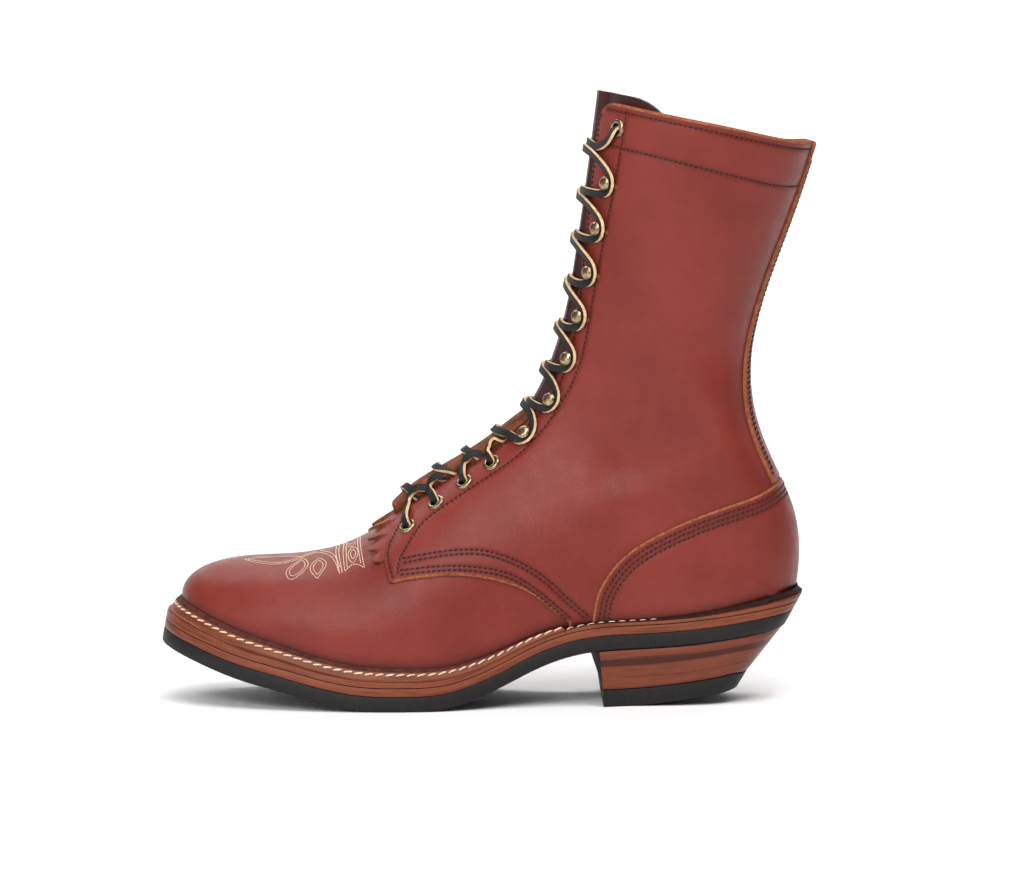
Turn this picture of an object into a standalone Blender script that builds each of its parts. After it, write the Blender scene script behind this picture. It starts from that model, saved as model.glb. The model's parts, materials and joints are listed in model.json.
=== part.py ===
"""Packer boot for the left foot: a laced western work boot on an undershot heel, one object a maker's piece.

Sizes are in millimetres up to the point where a mesh is made. The toe points to -X, the outer side of
the foot to -Y, and the boot stands on Z = 0.
"""

import math

import bmesh
import bpy
import numpy as np
from mathutils import Vector

MM = 0.001
# The middle of the boot's bounding box in plan, which becomes the origin.
CENTRE = Vector((0.0, -2.56, 0.0))
OUTER, INNER = -1, 1
SIDES = {"lateral": OUTER, "medial": INNER}

# Sections of the upper whose lower ends stand on the sole, from the toe tip to the back of the heel seat.
# The ridge runs over the toe and up the instep. The base is the edge of the last's bottom.
# "widest" is the share of the way from ridge to base, and "round" the exponent of the arch above it.
FOOT_COLUMNS = "ridge_x ridge_z ridge_y base_x base_out base_in wide_out wide_in widest round".split()
FOOT_SECTIONS = (
    (-147.4, 50.0, 4.0, -147.4, 4.0, 4.0, 4.0, 4.0, 0.55, 2.20),
    (-145.9, 55.6, 4.2, -145.7, -8.0, 15.5, -8.6, 16.2, 0.58, 2.20),
    (-141.3, 60.6, 4.5, -140.6, -18.0, 24.5, -19.0, 25.6, 0.62, 2.20),
    (-132.5, 65.0, 5.0, -131.0, -27.5, 33.0, -29.0, 34.6, 0.66, 2.20),
    (-117.5, 68.0, 5.5, -115.5, -37.0, 40.0, -38.8, 42.0, 0.68, 2.20),
    (-98.0, 69.0, 6.0, -96.0, -44.0, 43.5, -46.0, 45.8, 0.70, 2.20),
    (-79.0, 71.3, 6.5, -74.0, -48.0, 44.0, -50.2, 46.4, 0.71, 2.15),
    (-62.0, 77.2, 6.5, -49.0, -49.3, 42.0, -51.5, 44.8, 0.71, 2.10),
    (-45.0, 87.5, 6.0, -21.0, -46.8, 37.0, -49.5, 40.5, 0.70, 2.10),
    (-28.5, 99.5, 5.0, 10.0, -38.5, 30.0, -44.0, 37.0, 0.69, 2.15),
    (-12.5, 110.8, 3.8, 44.0, -33.0, 27.5, -38.0, 34.0, 0.70, 2.25),
    (1.0, 121.0, 2.5, 78.0, -31.0, 28.5, -34.8, 33.0, 0.72, 2.35),
    (11.5, 130.5, 1.2, 108.0, -29.8, 29.0, -33.0, 32.4, 0.75, 2.45),
    (19.0, 139.5, 0.4, 135.4, -24.6, 24.5, -32.2, 32.2, 0.77, 2.50),
    (24.3, 148.0, 0.0, 143.2, -12.8, 12.8, -31.6, 31.6, 0.775, 2.50),
    (28.3, 156.0, 0.0, 144.2, 0.0, 0.0, -31.4, 31.4, 0.775, 2.50),
)
# Sections of the shaft, from above the heel seat to the collar. The last row is above the collar.
SHAFT_COLUMNS = "ridge_x ridge_z back_x back_z half_width widest round back_round".split()
SHAFT_SECTIONS = (
    (31.8, 165.0, 146.9, 66.0, 31.6, 0.765, 2.50, 2.3),
    (35.2, 175.5, 145.2, 88.5, 32.0, 0.74, 2.45, 2.2),
    (38.2, 187.0, 136.5, 110.0, 32.6, 0.70, 2.35, 2.1),
    (40.8, 200.0, 127.6, 131.5, 33.5, 0.65, 2.25, 2.05),
    (43.0, 214.5, 123.6, 155.0, 35.2, 0.60, 2.15, 2.0),
    (45.4, 230.5, 126.0, 180.0, 37.8, 0.56, 2.10, 2.0),
    (47.8, 248.0, 133.5, 206.0, 41.0, 0.53, 2.05, 2.0),
    (50.3, 267.0, 143.8, 234.5, 44.2, 0.51, 2.05, 2.0),
    (52.8, 287.0, 154.2, 266.5, 47.0, 0.50, 2.05, 2.0),
    (55.3, 307.0, 164.0, 300.0, 49.5, 0.50, 2.05, 2.0),
)
HEEL_BACK_RULE = 2.4
HEEL_ROW = len(FOOT_SECTIONS) - 1
COLLAR_ROW = HEEL_ROW + len(SHAFT_SECTIONS) - 1

# Height of the outsole's underside along the boot: toe spring, flat tread, arch and heel seat.
SOLE_LINE = (
    (-158.0, 28.2),
    (-140.0, 21.4),
    (-120.0, 13.6),
    (-100.0, 7.4),
    (-80.0, 2.1),
    (-70.0, 0.5),
    (-60.0, 0.0),
    (-47.0, 0.0),
    (-34.0, 0.0),
    (-22.0, 0.9),
    (-8.0, 4.4),
    (8.0, 11.2),
    (25.0, 19.4),
    (45.0, 25.6),
    (70.0, 28.4),
    (95.0, 30.6),
    (118.0, 33.2),
    (136.0, 35.3),
    (152.0, 37.2),
)
# How far the sole's edge stands out from the base of the upper.
SOLE_EDGE = ((-147.4, 9.8), (-125.0, 8.2), (-60.0, 7.2), (0.0, 6.6), (45.0, 6.2), (100.0, 6.0), (144.2, 6.8))

# Thicknesses and clearances.
CLEARANCE = 0.3
OUTSOLE_TOP = 7.2
MIDSOLE_TOP = 11.2
SEAT_GAP = 0.45
SEAT = MIDSOLE_TOP + SEAT_GAP
INSOLE_THICKNESS = 3.0
INSOLE_GAP = 1.3
UPPER_WALL = 2.0
LEATHER = 1.2
LAYER_GAP = 0.4
QUARTER_FACE = LAYER_GAP + LEATHER
OVERLAY_FACE = 2 * (LAYER_GAP + LEATHER)
TONGUE_WALL = 2.2

# Heel: the back slopes forward under the seat, and the sides draw in a little.
HEEL_BACK_TOP = (151.0, 50.5)
HEEL_BACK_FLOOR_X = 117.5
HEEL_PIVOT_X = 60.0
HEEL_SIDE_DRAW = 0.12
HEEL_DRAW_RAMP = (40.0, 75.0)
BREAST_X = {OUTER: 54.5, INNER: 50.0}
TOP_LIFT_HEIGHT = 8.2
STACK_LEVELS = 4

# Welt and rand: heights of their outer and inner top edges above the seat.
WELT_RISE_COLUMNS = "x outer inner".split()
WELT_RISE = ((-157.0, 5.6, 13.0), (-60.0, 3.6, 9.2), (40.0, 3.4, 7.0))
WELT_END_X = 36.5
RAND_START_X = 40.0
RAND_RISE = 3.4
RAND_BACK_FLARE = 0.8
RAND_FLARE_RAMP = (100.0, 145.0)
STRIP_CLEARANCE = 1.2
HEEL_CORNER_ROW = 12.9
HEEL_CORNER_LEAN = 0.8
STRIP_SAMPLES = 120
STRIP_COUNT = 24

# Throat between the two quarters, as a half gap from the ridge.
THROAT_ROW = 7.55
THROAT_GAP = ((7.55, 0.0), (7.7, 5.0), (8.0, 8.5), (9.0, 10.0), (11.0, 11.0), (16.0, 12.0), (25.0, 12.0))
COLLAR_CORNER_ROWS = 0.45
COLLAR_CORNER = 8.0

# Edges of the leather pieces, as (x, z) seen from the side.
QUARTER_FRONT_EDGE = ((-46.6, 60.8), (-48.6, 67.0), (-49.3, 75.5), (-46.8, 82.0), (-43.2, 88.0), (-38.0, 95.0))
QUARTER_LOWER_EDGE = ((39.2, 40.5), (32.2, 46.2), (24.0, 53.0), (11.9, 59.2), (-0.7, 62.6), (-15.2, 64.2), (-34.6, 62.8))
QUARTER_FIRST_ROW = 6.9
COUNTER_EDGE = (
    (50.4, 41.8),
    (52.5, 53.7),
    (57.8, 63.7),
    (64.6, 72.2),
    (74.3, 78.0),
    (87.8, 84.1),
    (101.9, 91.6),
    (117.9, 96.4),
    (131.9, 100.3),
    (143.0, 104.6),
)
COUNTER_ROWS = (9.5, 19.0)
COUNTER_BACK_RISE = 4.0
BACKSTAY_EDGE = ((22.0, 88.0), (20.0, 104.0), (16.5, 122.0), (14.0, 160.0), (12.5, 300.0))
BACKSTAY_FIRST_ROW = 16.4
BACKSTAY_FOOT_GAP = 0.5
BACK_SEAM_HALF_GAP = 0.2
CUT_REACH = 120.0
CUT_TOP, CUT_FLOOR, CUT_BACK = 330.0, 20.0, 200.0

# Tongue.
TONGUE_CLEARANCE = 1.7
TONGUE_ROWS = (7.3, 24.33)
# Rows over which the tongue rises out of the vamp, and shares of the throat where its face bends under the quarters.
TONGUE_RISE_ROWS = (8.15, 9.75)
TONGUE_BEND = (0.4, 0.8)

# Kiltie: a folded strip in the throat, and a fringe on the vamp in front of the quarters.
KILTIE_LIFT = 0.45
KILTIE_SKIN = 1.9
KILTIE_COLUMNS = "row half_width middle edge".split()
KILTIE_BODY = (
    (8.05, 6.5, 1.9, 1.9),
    (8.28, 6.9, 2.3, 2.1),
    (8.42, 7.3, 4.2, 2.6),
    (9.2, 8.6, 4.4, 2.7),
    (10.2, 9.2, 4.3, 2.7),
    (11.2, 9.6, 4.1, 2.7),
    (12.1, 9.8, 3.6, 2.5),
    (12.3, 9.8, 2.4, 2.0),
)
# Strips of the fringe on one side: distance of the middle from the ridge, half width at the tip, and length.
FRINGE_STRIPS = ((0.0, 3.0, 10.5), (9.5, 2.9, 9.6), (18.4, 2.7, 9.2), (26.4, 2.3, 8.6), (32.9, 1.7, 7.6))
KILTIE_MOUTH_ROW = KILTIE_BODY[0][0]
FRINGE_NOTCH = 3.2
FRINGE_CURL = 1.2
FRINGE_BACK_GAP = 1.7
FRINGE_ROWS = 3

# Hardware on the quarters, as (x, z) seen from the side, from the bottom up.
EYELETS = ((-38.5, 86.1), (-24.9, 97.1), (-11.4, 106.8), (1.7, 115.9), (62.2, 277.0))
HOOKS = ((17.7, 129.9), (29.8, 145.7), (38.0, 165.4), (43.3, 185.6), (48.2, 206.8), (52.0, 228.0), (56.4, 249.7))
HARDWARE_SEAT = 0.5
EYELET_PROFILE = ((2.3, 0.0), (2.5, 0.8), (3.1, 1.0), (3.9, 0.0))
HOOK_PROFILE = ((0.0, 4.7), (2.2, 4.3), (3.0, 3.3), (1.5, 2.9), (1.5, 0.6), (3.4, 0.0), (0.0, 0.0))
TURNED_STEPS = 8

# Lace: flat leather that crosses the throat between each two rows of hardware.
LACE_WIDTH = 3.2
LACE_THICKNESS = 1.7
LACE_END_GAP = 5.3
LACE_END_HEIGHT = 2.7
LACE_CROSSING_HEIGHT = {"kiltie": 6.0, "tongue": 3.2}
LACE_LAST_KILTIE_CROSSING = 4
LACE_POINTS = 5

# Mesh fineness: stretches of rows as first row, last row and step.
ROW_STRETCHES = ((0, 4, 0.67), (4, 8, 0.8), (8, 13, 0.5), (13, HEEL_ROW, 0.4), (HEEL_ROW, COLLAR_ROW, 1.0))
SOLE_ROW_STRETCHES = ((0, 3, 0.5), (3, HEEL_ROW, 0.4))
LEAST_ROW_STEP = 0.12
UPPER_COLUMNS = 9
END_CROWDING = 1.4

LEATHER_RED = (0.26, 0.055, 0.045)
LEATHER_DARK = (0.10, 0.028, 0.022)
SOLE_BROWN = (0.19, 0.07, 0.03)
RUBBER_BLACK = (0.012, 0.011, 0.011)
INSOLE_TAN = (0.45, 0.28, 0.15)
BRASS = (0.38, 0.27, 0.14)
LACE_BLACK = (0.02, 0.02, 0.02)


def spline(knots, values):
    """A natural cubic spline through the values, for one column or several."""
    knots = np.asarray(knots, float)
    values = np.asarray(values, float)
    count = len(knots)
    steps = np.diff(knots)
    matrix = np.eye(count)
    right = np.zeros_like(values)
    for i in range(1, count - 1):
        matrix[i, i - 1 : i + 2] = steps[i - 1], 2 * (steps[i - 1] + steps[i]), steps[i]
        slope_after = (values[i + 1] - values[i]) / steps[i]
        slope_before = (values[i] - values[i - 1]) / steps[i - 1]
        right[i] = 6 * (slope_after - slope_before)
    bend = np.linalg.solve(matrix, right)

    def at(where):
        where = np.asarray(where, float)
        i = np.clip(np.searchsorted(knots, where) - 1, 0, count - 2)
        step = steps[i]
        left = (knots[i + 1] - where) / step
        share = (where - knots[i]) / step
        if values.ndim > 1:
            left, share, step = left[..., None], share[..., None], step[..., None]
        curve = (left**3 - left) * bend[i] + (share**3 - share) * bend[i + 1]
        return left * values[i] + share * values[i + 1] + curve * step**2 / 6

    return at


def table_spline(table):
    rows = np.array(table, float)
    values = rows[:, 1] if rows.shape[1] == 2 else rows[:, 1:]
    return spline(rows[:, 0], values)


def by_column(table, names):
    return dict(zip(names, np.array(table, float).T))


def smooth_step(share):
    share = np.clip(share, 0, 1)
    return share * share * (3 - 2 * share)


SOLE_LINE_AT = table_spline(SOLE_LINE)
SOLE_EDGE_AT = table_spline(SOLE_EDGE)


def sole_line(x):
    """Height of the outsole's underside, never below the floor."""
    return np.maximum(SOLE_LINE_AT(x), 0.0)


def mirrored_ends(table, level, ends):
    """A table with two more rows past its first end, or past both, mirrored so that the tip comes out round.

    The columns listed in level come back the way they went, the others carry on past the tip.
    """
    rows = [table]
    for end in ends:
        near = table[1:3][::-1] if end == 0 else table[-3:-1][::-1]
        more = 2 * table[end] - near
        more[:, level] = near[:, level]
        rows.insert(0 if end == 0 else len(rows), more)
    return np.vstack(rows)


def section_splines():
    """Splines over the row number: the arch of every section, the edge of the last's bottom, and the back."""
    arches = []
    for values in FOOT_SECTIONS:
        row = dict(zip(FOOT_COLUMNS, values))
        arches.append([*(row[name] for name in ARCH_COLUMNS[:-1]), HEEL_BACK_RULE])
    for values in SHAFT_SECTIONS:
        row = dict(zip(SHAFT_COLUMNS, values))
        row.update(ridge_y=0.0, wide_out=-row["half_width"], wide_in=row["half_width"])
        arches.append([row[name] for name in ARCH_COLUMNS])
    level = [ARCH_COLUMNS.index(name) for name in ("ridge_x", "widest", "round", "back_round")]
    arch_at = spline(np.arange(-2, len(arches)), mirrored_ends(np.array(arches), level, (0,)))
    bases = np.array([[dict(zip(FOOT_COLUMNS, values))[name] for name in BASE_COLUMNS] for values in FOOT_SECTIONS])
    base_at = spline(np.arange(-2, HEEL_ROW + 3), mirrored_ends(bases, [0], (0, -1)))
    seat_x = bases[-1, 0]
    backs = [(seat_x, float(sole_line(seat_x)) + SEAT)]
    for values in SHAFT_SECTIONS:
        row = dict(zip(SHAFT_COLUMNS, values))
        backs.append((row["back_x"], row["back_z"]))
    back_at = spline(np.arange(HEEL_ROW, HEEL_ROW + len(backs)), np.array(backs))
    return arch_at, base_at, back_at


ARCH_COLUMNS = "ridge_x ridge_z ridge_y wide_out wide_in widest round back_round".split()
BASE_COLUMNS = "base_x base_out base_in".split()
ARCH_AT, BASE_AT, BACK_AT = section_splines()


def section(row):
    """The named sizes of the section at a row number, whole or between rows."""
    row = np.asarray(row, float)
    arch = ARCH_AT(row)
    sizes = {name: arch[..., i] for i, name in enumerate(ARCH_COLUMNS)}
    on_sole = row <= HEEL_ROW
    base, back = BASE_AT(np.minimum(row, HEEL_ROW)), BACK_AT(np.maximum(row, HEEL_ROW))
    sizes["base_x"] = np.where(on_sole, base[..., 0], back[..., 0])
    sizes["base_z"] = np.where(on_sole, sole_line(base[..., 0]) + SEAT, back[..., 1])
    sizes["base_out"] = np.where(on_sole, base[..., 1], 0.0)
    sizes["base_in"] = np.where(on_sole, base[..., 2], 0.0)
    return sizes


def side_widths(sizes, side):
    """Width of one half at its widest, and the share of that width which is left at the base."""
    wide, base = ("wide_out", "base_out") if side == OUTER else ("wide_in", "base_in")
    width = (sizes[wide] - sizes["ridge_y"]) * side
    left = (sizes[base] - sizes["ridge_y"]) * side
    share = np.where(width > 0.01, left / np.maximum(width, 0.01), 1.0)
    return width, np.clip(share, 0.0, 1.0)


def surface(row, turn, side):
    """Point of the upper's outer face. turn runs from 0 at the ridge over 0.5 at the widest to 1 at the base."""
    row, turn = np.broadcast_arrays(np.asarray(row, float), np.asarray(turn, float))
    sizes = section(row)
    width, share = side_widths(sizes, side)
    front = 2.0 / sizes["round"]
    back = 2.0 / sizes["back_round"]
    arch = np.clip(turn, 0.0, 0.5) * math.pi
    last = np.arccos(np.clip(share ** (1.0 / back), 0.0, 1.0))
    tuck = np.clip(turn - 0.5, 0.0, 0.5) * 2.0 * last
    tuck_sine = np.sin(np.maximum(last, 1e-4)) ** back
    past = sizes["widest"] + (1 - sizes["widest"]) * np.sin(tuck) ** back / tuck_sine
    flat = np.clip(turn - 0.5, 0.0, 0.5) * 2.0 * (1 - sizes["widest"]) + sizes["widest"]
    past = np.where(last > 1e-3, past, flat)
    before = sizes["widest"] * (1 - np.cos(arch) ** front)
    along = np.where(turn <= 0.5, before, past)
    spread = np.where(turn <= 0.5, np.sin(arch) ** front, np.cos(tuck) ** back)
    x = sizes["ridge_x"] + (sizes["base_x"] - sizes["ridge_x"]) * along
    z = sizes["ridge_z"] + (sizes["base_z"] - sizes["ridge_z"]) * along
    y = sizes["ridge_y"] + side * width * spread
    return np.stack([x, y, z], axis=-1)


def normal_net(side):
    """Normals on a fine net of rows and turns, from the net's own faces.

    They turn level towards the sole, so that layers of leather stand side by side on it.
    """
    points = surface(NET_ROWS[:, None], NET_TURNS[None, :], side)
    across = points[1:, 1:] - points[:-1, :-1]
    other = points[1:, :-1] - points[:-1, 1:]
    faces = np.cross(other, across) * side
    net = np.zeros_like(points)
    for rows in (slice(None, -1), slice(1, None)):
        for turns in (slice(None, -1), slice(1, None)):
            net[rows, turns] += faces
    near_sole = smooth_step(HEEL_ROW + 1.5 - NET_ROWS)[:, None]
    net[..., 2] *= 1 - near_sole * smooth_step((NET_TURNS - UPRIGHT_TURNS[0]) / np.ptp(UPRIGHT_TURNS))
    return net


def shared_normals():
    """The nets of both sides, with one normal for both where they meet at the toe, the ridge and the back."""
    nets = {side: normal_net(side) for side in SIDES.values()}
    both = sum(nets.values())
    both[..., 1] = 0.0
    seam = np.zeros(both.shape[:2], bool)
    seam[0] = True
    seam[:, 0] = True
    seam[NET_ROWS >= HEEL_ROW - 1e-6, -1] = True
    for side, net in nets.items():
        net = np.where(seam[..., None], both, net)
        nets[side] = net / np.maximum(np.linalg.norm(net, axis=-1, keepdims=True), 1e-9)
    return nets


NET_ROWS = np.linspace(0.0, COLLAR_ROW + 1, 10 * (COLLAR_ROW + 1) + 1)
NET_TURNS = np.linspace(0.0, 1.0, 61)
UPRIGHT_TURNS = (0.6, 0.9)
NORMALS = shared_normals()


def outward(row, turn, side):
    """Unit normal of the upper's outer face, read from the net."""
    row, turn = np.broadcast_arrays(np.asarray(row, float), np.asarray(turn, float))
    across = np.clip(row / (NET_ROWS[1] - NET_ROWS[0]), 0, len(NET_ROWS) - 1.001)
    down = np.clip(turn / (NET_TURNS[1] - NET_TURNS[0]), 0, len(NET_TURNS) - 1.001)
    i, j = across.astype(int), down.astype(int)
    a, b = (across - i)[..., None], (down - j)[..., None]
    net = NORMALS[side]
    normal = (net[i, j] * (1 - a) + net[i + 1, j] * a) * (1 - b)
    normal = normal + (net[i, j + 1] * (1 - a) + net[i + 1, j + 1] * a) * b
    return normal / np.linalg.norm(normal, axis=-1, keepdims=True)


def lifted(row, turn, side, height):
    """Point at a height above the upper's outer face."""
    return surface(row, turn, side) + outward(row, turn, side) * np.asarray(height, float)[..., None]


def raised(row, turn, side, height):
    """The same, but following the seat where the leather comes down to the sole."""
    row, turn = np.broadcast_arrays(np.asarray(row, float), np.asarray(turn, float))
    point = lifted(row, turn, side, height)
    climb = sole_line(point[..., 0]) - sole_line(surface(row, turn, side)[..., 0])
    low = smooth_step((turn - UPRIGHT_TURNS[0]) / np.ptp(UPRIGHT_TURNS)) * smooth_step(HEEL_ROW + 1.0 - row)
    point[..., 2] += climb * low
    return point


def turn_at_width(row, distance, side):
    """The turn, in front of the widest place, that lies this far from the ridge's plane."""
    sizes = section(row)
    width, _ = side_widths(sizes, side)
    share = np.clip(np.asarray(distance, float) / np.maximum(width, 0.01), 0.0, 1.0)
    return np.arcsin(share ** (sizes["round"] / 2.0)) / math.pi


def row_at_base(x):
    """Row number whose base lies at this x on the sole."""
    rows = np.linspace(0, HEEL_ROW, 3000)
    return float(np.interp(x, section(rows)["base_x"], rows))


def outline(row, side, offset):
    """Plan point at an offset outside the base of the upper."""
    row = np.asarray(row, float)
    step = 0.01
    across = BASE_COLUMNS.index("base_out" if side == OUTER else "base_in")
    place = [0, across]
    run = (BASE_AT(row + step) - BASE_AT(row - step))[..., place]
    run = run / np.linalg.norm(run, axis=-1, keepdims=True)
    away = np.stack([-run[..., 1], run[..., 0]], axis=-1) * side
    return BASE_AT(row)[..., place] + away * np.asarray(offset, float)[..., None]


def heel_back_x(z):
    share = np.clip(np.asarray(z, float) / HEEL_BACK_TOP[1], 0.0, 1.1)
    return HEEL_BACK_FLOOR_X + (HEEL_BACK_TOP[0] - HEEL_BACK_FLOOR_X) * share


def drawn_in(plan, z):
    """Plan point of the sole's edge, drawn in under the heel as its height falls."""
    x, y = plan[..., 0], plan[..., 1]
    stretch = (heel_back_x(z) - HEEL_PIVOT_X) / (HEEL_BACK_TOP[0] - HEEL_PIVOT_X)
    start, end = HEEL_DRAW_RAMP
    ramp = smooth_step((x - start) / (end - start))
    narrow = 1 - HEEL_SIDE_DRAW * ramp * (1 - np.clip(z / HEEL_BACK_TOP[1], 0.0, 1.0))
    x = np.where(x > HEEL_PIVOT_X, HEEL_PIVOT_X + (x - HEEL_PIVOT_X) * stretch, x)
    return np.stack([x, y * narrow], axis=-1)


def sole_point(row, side, level, offset=None):
    """Point on the sole's edge, or at an offset from the upper's base, at a level above the sole line."""
    row = np.asarray(row, float)
    if offset is None:
        offset = SOLE_EDGE_AT(section(row)["base_x"])
    plan = outline(row, side, np.broadcast_to(offset, row.shape))
    plan = drawn_in(plan, sole_line(plan[..., 0]) + level)
    return np.concatenate([plan, (sole_line(plan[..., 0]) + level)[..., None]], axis=-1)


def make_object(name, mesh, finish):
    """An object of the boot, or a hidden cutter where it has no finish."""
    thing = bpy.data.objects.new(name, mesh)
    if finish is None:
        CUTTERS.objects.link(thing)
        thing.hide_render = True
        thing.display_type = "WIRE"
        return thing
    mesh.materials.append(finish)
    PARTS.objects.link(thing)
    thing.parent = ROOT
    return thing


def material(name, colour, roughness, metallic=0.0):
    made = bpy.data.materials.new(name)
    made.use_nodes = True
    shader = made.node_tree.nodes["Principled BSDF"]
    shader.inputs["Base Color"].default_value = (*colour, 1.0)
    shader.inputs["Roughness"].default_value = roughness
    shader.inputs["Metallic"].default_value = metallic
    return made


def placed(point):
    """A point of the drawing in metres from the origin."""
    return (Vector(point) - CENTRE) * MM


def facing_out(name, build, finish):
    """The object of a closed mesh, with all its faces turned outwards."""
    bmesh.ops.recalc_face_normals(build, faces=build.faces)
    if build.calc_volume(signed=True) < 0:
        bmesh.ops.reverse_faces(build, faces=build.faces)
    mesh = bpy.data.meshes.new(name)
    build.to_mesh(mesh)
    build.free()
    return make_object(name, mesh, finish)


def loft(name, loops, finish):
    """A closed solid through a row of closed loops with the same number of points."""
    build = bmesh.new()
    rings = [[build.verts.new(placed(point)) for point in loop] for loop in loops]
    size = len(rings[0])
    for first, second in zip(rings, rings[1:]):
        for i in range(size):
            j = (i + 1) % size
            build.faces.new((first[i], first[j], second[j], second[i]))
    build.faces.new(rings[0])
    build.faces.new(rings[-1])
    bmesh.ops.remove_doubles(build, verts=build.verts, dist=1e-6)
    return facing_out(name, build, finish)


def sheet(name, patches, finish):
    """A leather piece between two faces that follow the upper, with its patches joined along shared seams.

    A patch is its grid of rows and of turns, its side, and the heights of both faces above the upper.
    All pieces split their cells along the same diagonal, so that layers over one another stay parallel.
    """
    build = bmesh.new()
    pairs = {}
    for rows, turns, side, outer, inner in patches:
        faces = [raised(rows, turns, side, np.broadcast_to(height, turns.shape)) for height in (outer, inner)]
        net = []
        for i in range(len(rows)):
            line = []
            for j, (row, turn) in enumerate(zip(rows[i], turns[i])):
                on_seam = row == 0 or turn == 0 or (turn == 1 and row >= HEEL_ROW)
                key = (row, turn, 0 if on_seam else side)
                if key not in pairs:
                    pairs[key] = [build.verts.new(placed(face[i, j])) for face in faces]
                line.append(pairs[key])
            net.append(line)
        for first, second in zip(net, net[1:]):
            for i in range(len(first) - 1):
                for corners in ((first[i], first[i + 1], second[i + 1]), (first[i], second[i + 1], second[i])):
                    for layer in zip(*corners):
                        build.faces.new(layer)
    partner = dict(pairs.values())
    for edge in [edge for edge in build.edges if edge.is_boundary]:
        first, second = edge.verts
        if first in partner and second in partner:
            build.faces.new((first, second, partner[second], partner[first]))
    return facing_out(name, build, finish)


def row_steps(first, last, step):
    return np.linspace(first, last, max(2, int(round((last - first) / step)) + 1))


def throat_turn(row, side):
    """Turn at the edge of the throat, rounded off at the collar's front corner."""
    row = np.asarray(row, float)
    gap = np.maximum(np.interp(row, *np.array(THROAT_GAP).T), 0.0)
    near_top = np.clip((row - COLLAR_ROW + COLLAR_CORNER_ROWS) / COLLAR_CORNER_ROWS, 0.0, 1.0)
    gap = gap + COLLAR_CORNER * (1 - np.sqrt(1 - near_top**2))
    return np.where(row > THROAT_ROW, turn_at_width(row, gap, side), 0.0)


def spread_columns(start, end, count):
    """Turns from start to end of each row, closer together towards the end."""
    share = 1 - np.linspace(1.0, 0.0, count) ** END_CROWDING
    return start[:, None] + (end - start)[:, None] * share


def body_rows():
    """Rows of the upper's mesh, which every piece that lies on it shares."""
    rows = np.unique(np.concatenate([row_steps(*stretch) for stretch in ROW_STRETCHES]))
    marks = np.array([THROAT_ROW, THROAT_ROW + 0.2, COLLAR_ROW - 0.2])
    apart = np.min(np.abs(rows[:, None] - marks), axis=1) > LEAST_ROW_STEP
    return np.unique(np.concatenate([rows[apart], marks]))


def body_turns(rows, side):
    """Turns of the upper's mesh, from the throat or the ridge to the base or the back."""
    return spread_columns(throat_turn(rows, side), np.ones_like(rows), UPPER_COLUMNS)


def on_body(rows, side, outer, inner):
    """A patch on some of the body's own rows, between two heights above the upper."""
    turns = body_turns(rows, side)
    return np.broadcast_to(rows[:, None], turns.shape), turns, side, outer, inner


def build_upper(finish):
    rows = body_rows()
    return sheet("upper", [on_body(rows, side, 0.0, -UPPER_WALL) for side in SIDES.values()], finish)


def build_tongue(finish):
    first, last = TONGUE_ROWS
    rows = body_rows()
    rows = np.concatenate([rows[rows > first], [last]])
    gap = np.maximum(np.interp(rows, *np.array(THROAT_GAP).T), 1.0)
    under = UPPER_WALL + TONGUE_CLEARANCE
    free = smooth_step((rows - TONGUE_RISE_ROWS[0]) / np.ptp(TONGUE_RISE_ROWS))[:, None]
    patches = []
    for side in SIDES.values():
        columns = body_turns(np.minimum(rows, COLLAR_ROW - 1), side)
        edge = turn_at_width(rows, gap, side)[:, None]
        edge = np.minimum(edge, columns[:, 1:2])
        bend, bent = (share * edge for share in TONGUE_BEND)
        turns = np.concatenate([0 * edge, bend, bent, columns[:, 1:2]], axis=1)
        open_share = smooth_step((turns - bend) / (bent - bend))
        depth = under * np.maximum(open_share, 1 - free)
        patches.append((np.broadcast_to(rows[:, None], turns.shape), turns, side, -depth, -depth - TONGUE_WALL))
    return sheet("tongue", patches, finish)


def ladder(rows, bottom, top, offset=None):
    """Loops of a flat layer of the sole between two levels above the sole line."""
    loops = []
    for row in rows:
        corners = [(OUTER, top), (OUTER, bottom), (INNER, bottom), (INNER, top)]
        loops.append([sole_point(row, side, level, offset) for side, level in corners])
    return loops


def build_sole(finishes):
    rows = np.unique(np.concatenate([row_steps(*stretch) for stretch in SOLE_ROW_STRETCHES]))
    loft("outsole", ladder(rows, 0.0, OUTSOLE_TOP), finishes["rubber"])
    loft("midsole", ladder(rows, OUTSOLE_TOP + CLEARANCE, MIDSOLE_TOP), finishes["sole_leather"])
    inside = -(UPPER_WALL + INSOLE_GAP)
    loft("insole", ladder(rows, SEAT, SEAT + INSOLE_THICKNESS, inside), finishes["insole"])


def contour(rows, side, face, rise):
    """The line at a rise above the seat on the leather's face, which is this far above the upper, a point a row."""
    low, high = np.full_like(rows, 0.02), np.ones_like(rows)
    for _ in range(40):
        middle = (low + high) / 2
        point = raised(rows, middle, side, face)
        above = point[..., 2] - sole_line(point[..., 0]) - SEAT > rise(point[..., 0])
        low, high = np.where(above, middle, low), np.where(above, high, middle)
    return raised(rows, high, side, face)


def stood_off(line, side, offset, tip_direction):
    """A line seen in plan, moved outwards, with its tip moved straight along the boot."""
    run = np.gradient(line[:, :2], axis=0)
    run = run / np.linalg.norm(run, axis=1, keepdims=True)
    away = np.stack([-run[:, 1], run[:, 0]], axis=1) * side
    tip = 0 if tip_direction < 0 else -1
    away[tip] = tip_direction, 0.0
    moved = line.copy()
    moved[:, :2] += away * offset[:, None]
    moved[:, 2] += sole_line(moved[:, 0]) - sole_line(line[:, 0])
    return moved


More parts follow.
